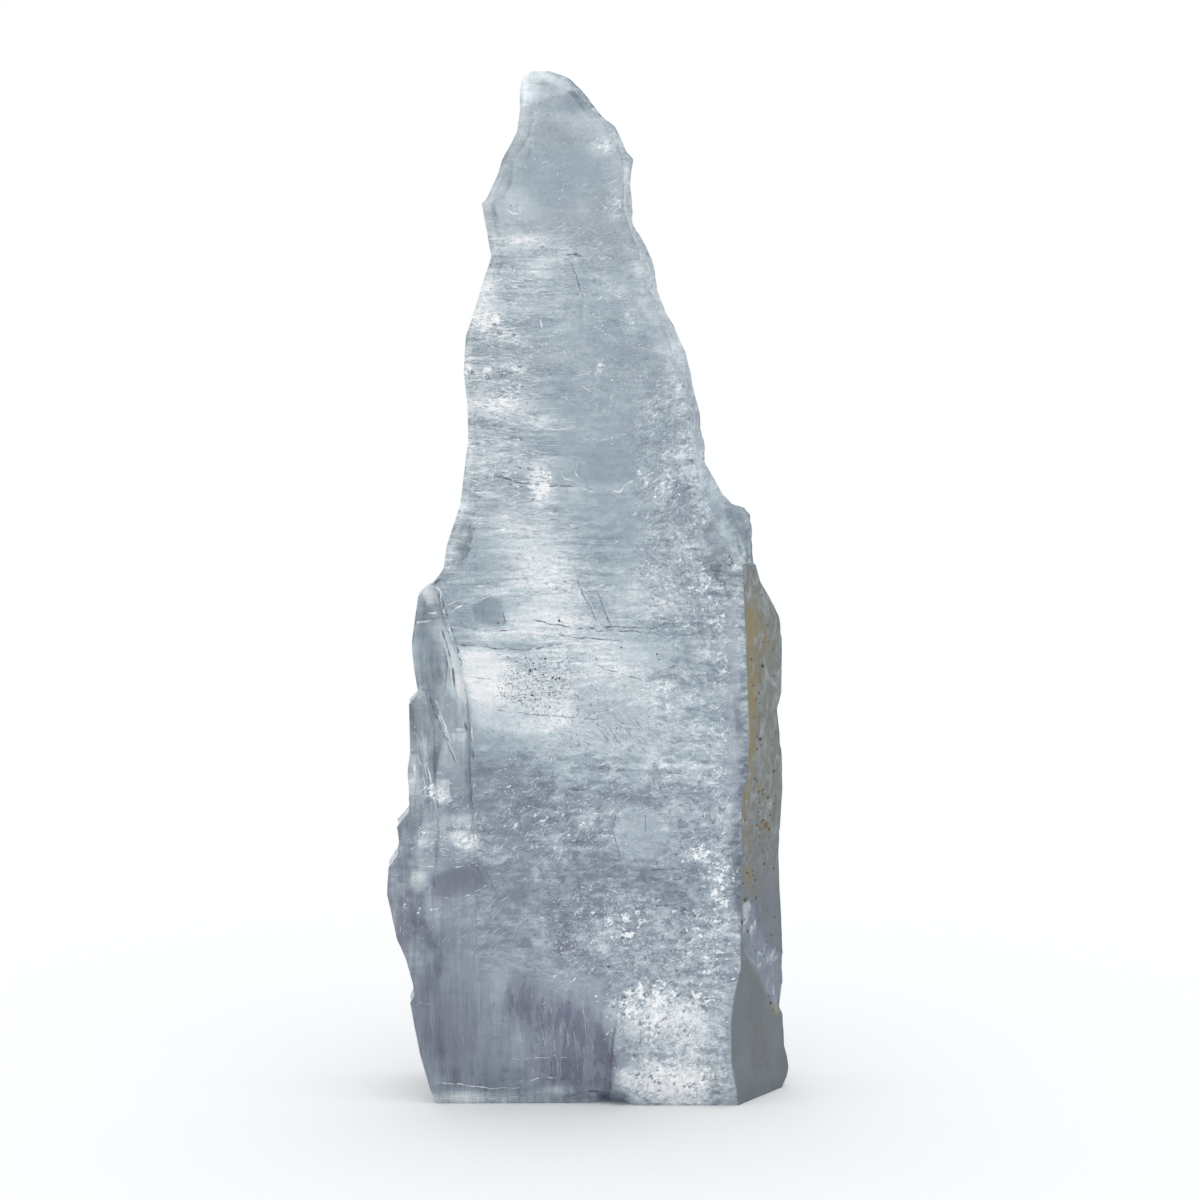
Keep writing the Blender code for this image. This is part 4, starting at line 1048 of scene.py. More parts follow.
def front_bruises_glints_and_shade(u, v, y, dark):
    """Where the front is bruised, with white chips that also serve as painted glints and dark chips that serve as
    painted shade: what the view shows.
    """
    px, py = to_view(u, np.nan_to_num(y, nan=FRONT_Y), v)
    seed = 700 if dark else 600
    warp = 0.3 * fractal(u / 3, 0, v / 3, seed, 2)
    tilt_u, tilt_v = turned(u, v, 28)
    even = fractal(tilt_u / 0.62 + warp, 0, tilt_v / 0.40, seed + 1, 3, 0.6)
    level = fractal((u + 2 * warp) / 2.0, 0, (v + 0.06 * u + 0.3 * warp) / 0.34, seed + 2, 3, 0.6)
    along, across = turned(u, v, 42)
    slant = fractal((along + warp) / 1.3, 0, (across + 0.5 * warp) / 0.32, seed + 3, 3, 0.6)
    fibrous = smooth((py - 215) / 30) * smooth((700 - py) / 50) * (1 - smooth((px - 600) / 50))
    slanted = smooth((py - 740) / 40) * smooth((640 - px) / 60)
    noisy = fibrous * (0.6 * level + 0.4 * even) + (1 - fibrous) * (slanted * (0.6 * slant + 0.4 * even) + (1 - slanted) * even)
    gather = patches(GLINTS, px, py, 1.2)
    calm = patches(CALM, px, py, 2.0)
    if dark:
        gather = 0.45 * gather + 0.30 * smooth((py - 740) / 60) * (1 - calm) + 0.22 * fibrous * smooth((560 - px) / 40) + 0.22 * patches(((545, 690, 50, 34, 0, 1.0),), px, py)
    else:
        gather = gather * (1 - 0.5 * calm) + 0.10 * smooth((py - 740) / 60)
    spread = patches(((655, 1010, 62, 40, 0, 1.0), (672, 1080, 56, 20, 0, 1.0), (620, 930, 70, 40, 0, 0.6),
                      (500, 345, 46, 70, 0, 1.0), (500, 450, 46, 64, 0, 1.0), (540, 260, 60, 24, 0, 0.6),
                      (540, 550, 60, 46, 0, 0.5)), px, py)
    keep = noisy + 0.50 * gather + 0.12 * spread - (0.60 if not dark else 0.65)
    keep = keep + 0.10 * fractal(u / 5, 0, v / 5, seed + 4, 2) - 0.10 * calm
    keep = np.where(u > at(GROWTH_EDGE, v) - 0.2, -1.0, keep)
    return np.minimum(keep, (u - at(LEFT, v) - 0.4) * 0.5), gather, even


def other_bruises(u, v, y, dark):
    """The same at the back and the sides, which the view doesn't show."""
    seed = 740 if dark else 640
    warp = 0.8 * fractal(u / 3, y / 9, v / 3, seed, 2)
    even = fractal(u / 0.55 + warp, y / 9, v / 0.50, seed + 1, 3, 0.6)
    level = fractal((u + 2 * warp) / 2.2, y / 9, (v + 0.1 * u + 0.3 * warp) / 0.36, seed + 2, 3, 0.6)
    gather = smooth(2.2 * fractal(u / 9, 0, v / 7, seed + 5, 3) - 0.1)
    noisy = 0.45 * level + 0.55 * even
    keep = noisy + (0.45 if not dark else 0.30) * gather - (0.60 if not dark else 0.64)
    return keep, 0.8 * gather, even


def chips(skin, dark):
    """Tiny bruises of the skin: white where the cleavage has sprung, which also stand in for painted glints, or dark
    where a chip is gone, which stands in for painted shade in the pit.
    """
    front = skin.side == "front"
    pitch = 0.145 if front else 0.19
    u, v = np.meshgrid(np.arange(skin.xs[0] + 0.6, skin.xs[-1] - 0.6, pitch), np.arange(0.3, 149.0, pitch))
    y = skin.at(u, v)
    gone = np.isnan(y) | skin.jumps(u, v)
    keep, gather, even = (front_bruises_glints_and_shade if front else other_bruises)(u, v, np.nan_to_num(y), dark)
    if skin.side == "rear":
        gone |= y > REAR_Y - 0.03
    keep = np.where(gone, -1.0, keep)
    if dark:
        tone = np.clip(0.9 - 1.6 * keep + 0.2 * even, 0, 1)
    else:
        tone = np.clip(0.10 + 1.7 * keep + 0.75 * gather ** 2 + 0.25 * even, 0, 1)
    verts, faces, tones = lace(u, v, keep, skin.place(0.012 if dark else 0.004), tone, 0.035)
    return verts, faces, tones


def strokes(skin):
    """Hairline cracks, dark with painted shade, and bright edges, which are painted highlights, as ragged ribbons that
    lie in the skin.
    """
    out = {0: [], 1: []}
    for index, (points, width, ragged, bright) in enumerate(HAIRLINES):
        spots = np.array([from_view(px, py, FRONT_Y) for px, py in points], float)
        gaps = np.r_[0, np.cumsum(np.hypot(*np.diff(spots, axis=0).T))]
        s = np.arange(-0.1, gaps[-1] + 0.2, 0.12)
        x, z = np.interp(s, gaps, spots[:, 0]), np.interp(s, gaps, spots[:, 1])
        tangent = np.gradient(np.stack([x, z], 1), axis=0)
        tangent /= np.maximum(np.linalg.norm(tangent, axis=1, keepdims=True), 1e-9)
        side = np.stack([-tangent[:, 1], tangent[:, 0]], 1)
        wander = ragged * (0.42 * fractal(s / 1.3, index * 3.7, 0, 500, 3) + 0.16 * fractal(s / 0.35, index * 3.7, 0, 504, 2))
        x, z = x + side[:, 0] * wander, z + side[:, 1] * wander
        t = np.arange(-0.275, 0.276, 0.05)
        u, v = np.meshgrid(t, s)
        ends = smooth(np.minimum(s, gaps[-1] - s) / min(1.2, 0.4 * gaps[-1]) + 0.15)
        thick = np.minimum(0.66 * width * ends * (0.75 + 2.0 * fractal(s / 0.8, index * 1.9, 3.0, 501, 3)) - 0.012, 0.22)
        keep = thick[:, None] + 0.022 - np.abs(u) + 0.035 * fractal(v / 0.25, u / 0.2 + index * 5, 0, 505, 2)
        keep[0], keep[-1] = -1, -1

        def path(a, b):
            px_, pz_ = np.interp(b, s, x), np.interp(b, s, z)
            nx, nz = np.interp(b, s, side[:, 0]), np.interp(b, s, side[:, 1])
            return px_ + nx * a, pz_ + nz * a

        xx, zz = path(u, v)
        keep = np.where(np.isnan(skin.at(xx, zz)) | skin.jumps(xx, zz) | (zz < 0.15), -1.0, keep)
        keep = np.where((xx < at(LEFT, zz) + 0.35) | (xx > at(GROWTH_EDGE, zz) - 0.2), -1.0, keep)
        if (keep > 0).sum() < 3:
            continue

        def place(a, b):
            px_, pz_ = path(a, b)
            return np.stack([px_, skin.at(px_, pz_) + (0.0 if bright else 0.006), pz_], 1), (0.0, 1.0, 0.0)

        vivid = 0.40 if points[0][1] < 800 else 0.22
        tone = np.clip((vivid if bright else 0.22) + 0.7 * fractal(v / 1.0, index * 2.2, 0, 506, 3) + 0 * u, 0, 1)
        verts, faces, tones = lace(u, v, keep, place, tone, 0.03)
        if not np.isnan(verts).any():
            out[bright].append((verts, faces, tones))

    rng = np.random.default_rng(9106)
    for cx, cy, rx, ry, many, way, spread, length, width, bright in STROKES:
        r, a = np.sqrt(rng.random(many)), rng.random(many) * 2 * math.pi
        x0, y0 = cx + rx * r * np.cos(a), cy + ry * r * np.sin(a)
        turn = np.radians(way + spread * rng.normal(size=many))
        half = np.maximum(0.36 * length * np.exp(0.4 * rng.normal(size=many)), 0.6)
        sag = 0.07 * half * rng.normal(size=many)
        dx, dy = np.cos(turn), np.sin(turn)
        wide = width * (0.5 + 0.7 * rng.random(many))
        vivid = rng.random(many) ** 1.7
        verts, tones = [], []
        for f, w in ((-1.0, 0.0), (-0.55, 0.8), (0.05, 1.0), (0.6, 0.7), (1.0, 0.0)):
            px = x0 + half * f * dx - dy * sag * (1 - f * f)
            py = y0 + half * f * dy + dx * sag * (1 - f * f)
            x, z = from_view(px, py, FRONT_Y)
            nx, nz = dy, dx
            for k, (across, deep) in enumerate(((1, 0), (0, 0.018), (-1, 0), (0, -0.018))):
                if w == 0.0 and k:
                    continue
                ax, az = x + nx * across * 0.5 * wide * w, z + nz * across * 0.5 * wide * w
                verts.append(np.stack([ax, skin.at(ax, az) + deep, az], 1))
                tones.append(vivid)
        verts, tones = np.stack(verts, 1), np.stack(tones, 1)
        middle = verts.mean(1)
        fit = ~np.isnan(verts).any(axis=(1, 2)) & (np.ptp(verts[:, :, 1], axis=1) < 0.4) & (verts[:, :, 2].min(1) > 0.15)
        fit &= rng.random(many) > 0.85 * patches(CALM, x0, y0, 2.0)
        fit &= (middle[:, 0] < at(GROWTH_EDGE, middle[:, 2]) - 0.4) & (middle[:, 0] > at(LEFT, middle[:, 2]) + 0.4)
        shell = [(0, 1 + (k + 1) % 4, 1 + k) for k in range(4)]
        for ring in (1, 5):
            shell += [(ring + k, ring + (k + 1) % 4, ring + 4 + (k + 1) % 4, ring + 4 + k) for k in range(4)]
        shell += [(9 + k, 9 + (k + 1) % 4, 13) for k in range(4)]
        for v, t in zip(verts[fit], tones[fit]):
            out[bright].append((v, [list(f) for f in shell], t if bright else 0.75 - 0.6 * t))
    return {key: join(parts) for key, parts in out.items()}


# Families of short marks, bright ones painted highlights on scratches: (x, y, half width, half height,
# how many, direction, its spread, length, width in mm, bright).
STROKES = (
    (630, 732, 30, 14, 70, 42, 5, 11, 0.07, 0), (640, 738, 34, 14, 40, 44, 6, 9, 0.06, 1),
    (600, 730, 40, 12, 20, 10, 6, 16, 0.05, 0), (660, 750, 34, 22, 30, 60, 25, 9, 0.05, 0),
    (515, 345, 40, 40, 60, 4, 7, 22, 0.06, 1), (520, 345, 40, 40, 40, 3, 6, 26, 0.05, 0),
    (515, 450, 42, 40, 90, 4, 6, 24, 0.06, 1), (515, 460, 44, 34, 60, 4, 5, 30, 0.05, 0),
    (500, 405, 36, 14, 60, -6, 10, 16, 0.09, 1), (510, 395, 36, 16, 40, -4, 8, 22, 0.06, 1),
    (545, 425, 34, 6, 24, 6, 6, 18, 0.08, 1), (520, 520, 50, 26, 50, 0, 8, 26, 0.05, 0),
    (500, 530, 50, 26, 40, 0, 8, 22, 0.05, 1), (530, 250, 44, 14, 50, -4, 10, 16, 0.06, 1),
    (530, 285, 44, 16, 40, 3, 8, 18, 0.06, 1), (560, 290, 44, 30, 40, 3, 12, 12, 0.05, 0),
    (488, 322, 18, 14, 60, -20, 30, 8, 0.10, 1), (508, 337, 20, 9, 40, 24, 16, 9, 0.09, 1),
    (486, 293, 9, 16, 24, -10, 30, 8, 0.09, 1), (468, 368, 8, 14, 26, 20, 40, 7, 0.09, 1),
    (540, 483, 13, 20, 60, 70, 40, 8, 0.10, 1), (600, 367, 5, 9, 14, -60, 14, 10, 0.09, 1),
    (645, 476, 7, 10, 24, -55, 20, 9, 0.09, 1), (665, 487, 8, 16, 36, -65, 20, 9, 0.09, 1),
    (629, 316, 7, 12, 20, -40, 40, 5, 0.08, 1), (616, 290, 14, 8, 20, -20, 40, 5, 0.07, 1),
    (665, 440, 30, 60, 260, -48, 26, 8, 0.07, 1), (665, 500, 34, 50, 280, -42, 28, 8, 0.07, 1),
    (665, 450, 32, 70, 240, -45, 26, 8, 0.08, 0), (670, 560, 38, 50, 220, 30, 34, 7, 0.08, 0), (672, 570, 38, 44, 160, 30, 34, 7, 0.08, 1),
    (665, 470, 30, 70, 120, -45, 30, 7, 0.06, 0), (675, 560, 30, 30, 90, 35, 30, 8, 0.06, 1),
    (675, 560, 32, 34, 60, 35, 34, 7, 0.06, 0), (640, 420, 40, 40, 40, -40, 30, 8, 0.05, 1),
    (705, 620, 20, 40, 90, 55, 28, 8, 0.07, 1), (722, 720, 11, 70, 110, 62, 28, 8, 0.07, 1),
    (716, 850, 20, 60, 120, 65, 30, 8, 0.07, 1), (705, 700, 22, 60, 70, 20, 30, 8, 0.05, 0),
    (690, 760, 30, 60, 90, 30, 34, 8, 0.05, 1), (700, 940, 22, 50, 70, 60, 40, 7, 0.07, 1),
    (500, 800, 50, 26, 90, -36, 22, 9, 0.06, 1), (500, 800, 50, 26, 80, -36, 18, 9, 0.06, 0),
    (530, 840, 56, 34, 120, -30, 28, 9, 0.06, 1), (530, 830, 60, 44, 140, -34, 30, 8, 0.06, 0),
    (480, 925, 50, 32, 90, -38, 14, 10, 0.05, 1), (480, 930, 50, 34, 80, -38, 14, 10, 0.05, 0),
    (600, 920, 50, 34, 140, -25, 45, 7, 0.07, 1), (600, 930, 56, 36, 120, -30, 50, 7, 0.06, 0),
    (680, 950, 44, 40, 130, -40, 40, 7, 0.07, 1), (670, 930, 50, 50, 100, -30, 50, 7, 0.06, 0),
    (655, 1015, 40, 26, 120, -40, 28, 8, 0.08, 1), (655, 1020, 44, 34, 120, -40, 30, 7, 0.06, 0),
    (670, 1075, 44, 18, 110, -30, 40, 8, 0.09, 1), (670, 1060, 44, 30, 110, -30, 44, 7, 0.06, 0),
    (440, 845, 34, 24, 70, -12, 22, 10, 0.07, 1), (440, 845, 34, 26, 50, -12, 26, 9, 0.06, 0),
    (466, 841, 16, 8, 40, -10, 30, 7, 0.10, 1), (698, 855, 14, 9, 40, 15, 40, 6, 0.10, 1),
    (455, 1030, 36, 46, 26, 82, 4, 24, 0.03, 1), (560, 1040, 40, 44, 50, 83, 4, 26, 0.04, 1),
    (560, 1040, 40, 44, 60, 83, 4, 22, 0.04, 0), (525, 1000, 16, 22, 26, 84, 4, 22, 0.04, 0),
    (418, 770, 10, 40, 24, 78, 5, 20, 0.05, 1), (425, 770, 14, 40, 20, 78, 5, 20, 0.05, 0),
    (440, 790, 12, 16, 26, 60, 30, 8, 0.08, 1), (452, 735, 12, 8, 20, -5, 12, 8, 0.08, 1),
    (450, 660, 8, 30, 8, 10, 20, 8, 0.05, 0), (402, 930, 10, 40, 20, 70, 18, 9, 0.05, 1),
    (480, 1098, 44, 3, 30, 0, 8, 10, 0.06, 1), (560, 600, 60, 30, 16, 60, 40, 6, 0.04, 0),
    (590, 220, 34, 30, 40, -28, 20, 8, 0.05, 1), (560, 150, 40, 30, 16, -20, 30, 7, 0.04, 1),
    (605, 145, 16, 8, 30, -30, 20, 7, 0.08, 1), (617, 200, 10, 22, 24, -30, 20, 9, 0.06, 1),
    (535, 682, 40, 28, 420, 15, 60, 2.2, 0.13, 0), (560, 690, 60, 40, 200, 15, 60, 2.6, 0.12, 0), (590, 730, 44, 26, 150, 15, 50, 3.0, 0.11, 0),
    (520, 690, 50, 40, 160, 5, 20, 7, 0.05, 0), (600, 665, 60, 40, 160, 0, 20, 8, 0.05, 0), (600, 665, 60, 40, 120, 0, 20, 8, 0.07, 1),
    (560, 610, 60, 30, 120, 15, 50, 3.5, 0.10, 0), (545, 550, 50, 50, 200, 0, 16, 9, 0.08, 1), (545, 550, 55, 50, 200, 0, 16, 9, 0.07, 0),
    (505, 350, 36, 55, 220, 2, 14, 8, 0.10, 1), (505, 350, 36, 55, 160, 2, 14, 8, 0.08, 0), (505, 450, 40, 60, 200, 2, 14, 8, 0.10, 1),
    (505, 450, 40, 60, 160, 2, 14, 8, 0.08, 0), (560, 800, 70, 60, 260, -30, 40, 6, 0.10, 1), (560, 800, 70, 60, 260, -30, 40, 6, 0.09, 0),
    (465, 840, 30, 24, 120, -15, 40, 6, 0.12, 1), (465, 840, 30, 24, 100, -15, 40, 6, 0.10, 0), (600, 930, 60, 45, 220, -30, 50, 5, 0.11, 1),
    (600, 930, 60, 45, 220, -30, 50, 5, 0.10, 0), (660, 1040, 50, 50, 240, -30, 50, 5, 0.12, 1), (660, 1040, 50, 50, 240, -30, 50, 5, 0.10, 0),
    (610, 660, 90, 110, 260, 0, 30, 6, 0.07, 1), (610, 660, 90, 110, 260, 0, 30, 6, 0.07, 0), (560, 255, 60, 30, 140, 0, 20, 7, 0.08, 1),
    (560, 255, 60, 30, 120, 0, 20, 7, 0.07, 0), (590, 350, 60, 60, 200, 0, 40, 5, 0.08, 1), (590, 350, 60, 60, 160, 0, 40, 5, 0.07, 0), (640, 655, 44, 30, 50, 10, 40, 3.5, 0.05, 1),
    (560, 640, 60, 60, 60, 2, 8, 16, 0.04, 0), (600, 600, 60, 40, 60, -8, 14, 12, 0.05, 1),
    (570, 590, 70, 60, 60, 0, 10, 14, 0.05, 0), (610, 840, 60, 40, 60, -20, 40, 7, 0.05, 1),
    (650, 780, 50, 30, 60, 10, 30, 8, 0.05, 1), (650, 780, 50, 30, 50, 10, 30, 8, 0.05, 0),
    (585, 870, 40, 40, 80, -70, 30, 7, 0.06, 0), (520, 900, 30, 40, 60, -60, 30, 7, 0.06, 0),
)


SPECKS = (
    (762, 595, 1.3), (760, 666, 1.4), (774, 648, 1.3), (774, 676, 1.6), (776, 733, 1.7), (755, 738, 1.2),
    (774, 771, 2.6), (763, 790, 2.2), (759, 792, 1.6), (768, 798, 1.8), (774, 804, 1.7), (766, 825, 3.0),
    (763, 821, 2.0), (769, 829, 2.0), (757, 825, 1.6), (745, 820, 1.6), (774, 868, 1.4), (747, 873, 1.5),
    (755, 880, 1.5), (756, 898, 1.6), (745, 900, 1.6), (742, 922, 2.0), (757, 921, 1.3), (775, 917, 1.2),
    (753, 947, 1.3), (748, 835, 1.4), (752, 860, 1.2), (762, 850, 1.2), (770, 815, 1.5), (760, 808, 1.3),
    (771, 1003, 1.8), (773, 1010, 1.6), (769, 996, 1.4),
)


def speck_mesh(hull):
    rng = np.random.default_rng(77)
    spots = [(x, y, r) for x, y, r in SPECKS]
    for cx, cy, rx, ry, many, size in (
        (760, 690, 11, 70, 60, 0.8), (762, 820, 9, 34, 60, 0.9), (750, 880, 6, 50, 40, 0.9), (764, 620, 9, 30, 24, 0.7),
        (762, 950, 10, 40, 16, 0.7), (765, 1040, 12, 30, 10, 0.7),
        (530, 672, 30, 12, 60, 0.62), (548, 690, 30, 16, 70, 0.62), (520, 690, 40, 26, 50, 0.5), (600, 716, 50, 16, 30, 0.5),
        (556, 612, 40, 20, 24, 0.5), (650, 655, 26, 14, 16, 0.5), (528, 545, 26, 30, 20, 0.45),
    ):
        for _ in range(many):
            spots.append((cx + rx * rng.normal(0, 0.6), cy + ry * rng.normal(0, 0.6), size * math.exp(rng.normal(0, 0.35))))
    for cx, cy, radius, many in ((729, 562, 4.6, 22), (747, 557, 3.4, 13), (686, 386, 4.0, 5)):
        for _ in range(many):
            a = rng.random() * 2 * math.pi
            r = radius * (0.55 + 0.6 * rng.random())
            spots.append((cx + r * math.cos(a), cy + r * math.sin(a) * 1.1, 0.55 + 0.5 * rng.random()))
    ball = []
    for i in range(3):
        polar = math.pi * (i + 1) / 4
        for j in range(6):
            turn = 2 * math.pi * (j + 0.5 * (i % 2)) / 6
            ball.append((math.sin(polar) * math.cos(turn), math.sin(polar) * math.sin(turn), math.cos(polar)))
    ball = np.array([(0, 0, 1)] + ball + [(0, 0, -1)])
    rim = [[(0, 1 + j, 1 + (j + 1) % 6) for j in range(6)]]
    for i in range(2):
        a, b = 1 + 6 * i, 7 + 6 * i
        rim.append([(a + j, b + j, b + (j + 1) % 6, a + (j + 1) % 6) for j in range(6)])
    rim.append([(19, 13 + (j + 1) % 6, 13 + j) for j in range(6)])
    shell = [f for group in rim for f in group]
    parts = []
    for px, py, size in spots:
        hit, normal = hull.seen(px, py)
        if hit is None or (px > 741 and normal[0] < 0.3):
            continue
        normal = normal / np.linalg.norm(normal)
        t1 = np.cross(normal, (0, 0, 1.0)); t1 /= np.linalg.norm(t1)
        t2 = np.cross(normal, t1)
        radius = size * 0.1455
        stretch = 1.35 if px > 741 else 1.0
        lump = 1 + 0.28 * rng.normal(0, 1, len(ball))[:, None]
        shape = ball * lump
        verts = hit + radius * (shape[:, :1] * t1 * stretch + shape[:, 1:2] * t2 + 0.30 * shape[:, 2:3] * normal) - 0.02 * normal
        parts.append((verts, [list(f) for f in shell], np.full(len(verts), rng.random() if px > 735 else 0.0)))
    return join(parts)


# ------------------------------------------------------------------ materials


def new_material(name):
    material = bpy.data.materials.new(name)
    material.use_nodes = True
    tree = material.node_tree
    return material, tree, tree.nodes["Principled BSDF"]


def node(tree, kind, **values):
    made = tree.nodes.new(kind)
    for key, value in values.items():
        if hasattr(made, key):
            setattr(made, key, value)
        else:
            made.inputs[key.replace("_", " ")].default_value = value
    return made


def noise_node(tree, scale, detail=4.0, rough=0.55, kind="ShaderNodeTexNoise", squash=(1, 1, 1), turn=(0, 0, 0), distortion=0.0):
    """Noise in object space; scale is in features per millimetre."""
    where = tree.nodes.new("ShaderNodeTexCoord")
    mapping = tree.nodes.new("ShaderNodeMapping")
    mapping.inputs["Scale"].default_value = tuple(1000.0 * scale * s for s in squash)
    mapping.inputs["Rotation"].default_value = turn
    texture = tree.nodes.new(kind)
    texture.inputs["Scale"].default_value = 1.0
    if kind == "ShaderNodeTexNoise":
        texture.inputs["Detail"].default_value = detail
        texture.inputs["Roughness"].default_value = rough
        texture.inputs["Distortion"].default_value = distortion
    tree.links.new(where.outputs["Object"], mapping.inputs["Vector"])
    tree.links.new(mapping.outputs["Vector"], texture.inputs["Vector"])
    return texture.outputs[0]


def attribute(tree, name):
    made = tree.nodes.new("ShaderNodeAttribute")
    made.attribute_name = name
    return made.outputs["Fac"]


def math_node(tree, operation, a, b=None, clamp=False):
    made = tree.nodes.new("ShaderNodeMath")
    made.operation = operation
    made.use_clamp = clamp
    for socket, value in zip(made.inputs, (a, b)):
        if value is None:
            continue
        if isinstance(value, (int, float)):
            socket.default_value = value
        else:
            tree.links.new(value, socket)
    return made.outputs[0]


def span(tree, value, low, high, to_low, to_high):
    made = tree.nodes.new("ShaderNodeMapRange")
    made.inputs["From Min"].default_value = low
    made.inputs["From Max"].default_value = high
    made.inputs["To Min"].default_value = to_low
    made.inputs["To Max"].default_value = to_high
    tree.links.new(value, made.inputs["Value"])
    return made.outputs["Result"]


def ramp(tree, value, stops):
    made = tree.nodes.new("ShaderNodeValToRGB")
    elements = made.color_ramp.elements
    while len(elements) < len(stops):
        elements.new(0.5)
    for element, (position, colour) in zip(elements, stops):
        element.position = position
        element.color = (*colour, 1.0)
    tree.links.new(value, made.inputs["Fac"])
    return made.outputs["Color"]


def mix(tree, factor, a, b, blend="MIX"):
    made = tree.nodes.new("ShaderNodeMix")
    made.data_type = "RGBA"
    made.blend_type = blend
    for name, value in (("Factor", factor), ("A", a), ("B", b)):
        socket = [s for s in made.inputs if s.name == name and s.enabled][0]
        if isinstance(value, tuple):
            socket.default_value = (*value, 1.0)
        elif isinstance(value, (int, float)):
            socket.default_value = value
        else:
            tree.links.new(value, socket)
    return [s for s in made.outputs if s.enabled][0]


def bump(tree, height, strength, distance, below=None):
    made = tree.nodes.new("ShaderNodeBump")
    made.inputs["Distance"].default_value = distance
    if isinstance(strength, (int, float)):
        made.inputs["Strength"].default_value = strength
    else:
        tree.links.new(strength, made.inputs["Strength"])
    tree.links.new(height, made.inputs["Height"])
    if below is not None:
        tree.links.new(below, made.inputs["Normal"])
    return made.outputs["Normal"]


def crystal_material():
    """Clear gypsum. Its tone comes from the clear body and from fibres, crackle and frosting at its skin, with painted
    glints, painted reflections and painted shade laid into it.
    """
    material, tree, shader = new_material("clear_gypsum")
    tone, frost, glint = attribute(tree, "tone"), attribute(tree, "frost"), attribute(tree, "glint")
    level_at, slant_at = attribute(tree, "level"), attribute(tree, "slant")
    even_at, upright_at = attribute(tree, "even"), attribute(tree, "upright")

    def signed(value, low=0.34, high=0.66):
        return span(tree, value, low, high, -1.0, 1.0)

    def weigh(value, weight):
        return math_node(tree, "MULTIPLY", value, weight)

    def total(*values):
        out = values[0]
        for value in values[1:]:
            out = math_node(tree, "ADD", out, value)
        return out

    level = noise_node(tree, 0.13, 7, 0.80, squash=(1, 1, 9), turn=(0, 0.04, 0), distortion=0.5)
    slant = noise_node(tree, 0.34, 6, 0.78, squash=(1, 1.5, 3.6), turn=(0, 0.70, 0), distortion=0.35)
    even = noise_node(tree, 0.75, 6, 0.80, squash=(1, 1, 1.5), turn=(0, 0.4, 0), distortion=0.4)
    upright = noise_node(tree, 0.10, 6, 0.76, squash=(14, 6, 1), turn=(0, -0.09, 0), distortion=0.25)
    cloud = noise_node(tree, 0.20, 2, 0.60)
    chips = noise_node(tree, 1.5, 4, 0.64, squash=(1, 1, 1.5), turn=(0, 0.3, 0), distortion=0.7)

    def windows(scale, tall, turn, warp, edged):
        """Small cleavage windows with straight edges: a tone for each, and the distance to its edge."""
        where = tree.nodes.new("ShaderNodeTexCoord")
        # looks along a line between the front and the right side, so that both show the windows
        aside = tree.nodes.new("ShaderNodeMapping")
        aside.inputs["Rotation"].default_value = (0, 0, -0.6)
        mapping = tree.nodes.new("ShaderNodeMapping")
        mapping.inputs["Scale"].default_value = (1000.0 * scale, 1000.0 * scale * tall, 1000.0 * scale)
        mapping.inputs["Rotation"].default_value = (0, 0, turn)
        parts, plane = tree.nodes.new("ShaderNodeSeparateXYZ"), tree.nodes.new("ShaderNodeCombineXYZ")
        tree.links.new(where.outputs["Object"], aside.inputs["Vector"])
        tree.links.new(aside.outputs["Vector"], parts.inputs["Vector"])
        tree.links.new(parts.outputs["X"], plane.inputs["X"])
        tree.links.new(parts.outputs["Z"], plane.inputs["Y"])
        tree.links.new(plane.outputs["Vector"], mapping.inputs["Vector"])
        stir = tree.nodes.new("ShaderNodeTexNoise")
        stir.noise_dimensions = "2D"
        stir.inputs["Scale"].default_value = 0.8
        stir.inputs["Detail"].default_value = 2.0
        tree.links.new(mapping.outputs["Vector"], stir.inputs["Vector"])
        shift = tree.nodes.new("ShaderNodeVectorMath")
        shift.operation = "MULTIPLY_ADD"
        shift.inputs[1].default_value = (warp,) * 3
        tree.links.new(stir.outputs["Color"], shift.inputs[0])
        tree.links.new(mapping.outputs["Vector"], shift.inputs[2])
        made = []
        for feature in ("F1", "DISTANCE_TO_EDGE")[:2 if edged else 1]:
            cell = tree.nodes.new("ShaderNodeTexVoronoi")
            cell.voronoi_dimensions = "2D"
            cell.feature = feature
            cell.inputs["Scale"].default_value = 1.0
            tree.links.new(shift.outputs["Vector"], cell.inputs["Vector"])
            made.append(cell)
        split = tree.nodes.new("ShaderNodeSeparateXYZ")
        tree.links.new(made[0].outputs["Color"], split.inputs["Vector"])
        return span(tree, split.outputs["X"], 0.0, 1.0, -1.0, 1.0), made[-1].outputs["Distance"]

    wide, wide_edge = windows(0.36, 1.5, -0.62, 1.5, True)
    small, _ = windows(1.0, 1.7, -0.45, 1.6, False)
    flat, flat_edge = windows(0.30, 6.0, -0.05, 1.3, True)
    ridge = total(weigh(weigh(span(tree, wide_edge, 0.0, 0.05, 1.0, 0.0), slant_at), 0.09),
                  weigh(weigh(span(tree, flat_edge, 0.0, 0.04, 1.0, 0.0), level_at), 0.07))
    ridge = weigh(ridge, span(tree, cloud, 0.35, 0.65, -0.6, 1.5))
    cut = total(weigh(weigh(wide, slant_at), 0.080), weigh(weigh(small, total(slant_at, weigh(even_at, 0.3))), 0.065),
                weigh(weigh(flat, level_at), 0.060), ridge)
    fine = noise_node(tree, 2.4, 3, 0.75, squash=(1, 1, 1.6), distortion=0.4)
    streak = noise_node(tree, 0.9, 4, 0.66, squash=(0.8, 1, 3.2), turn=(0, 0.05, 0), distortion=0.6)
    rough = total(weigh(level_at, 0.5), weigh(even_at, 0.6), weigh(slant_at, 0.4), 0.30)
    texture = total(cut, weigh(weigh(signed(fine), rough), 0.075), weigh(weigh(signed(level), level_at), 0.17), weigh(weigh(signed(slant), slant_at), 0.15),
                    weigh(weigh(signed(even), even_at), 0.19), weigh(weigh(signed(upright), upright_at), 0.11),
                    weigh(signed(cloud), 0.03))
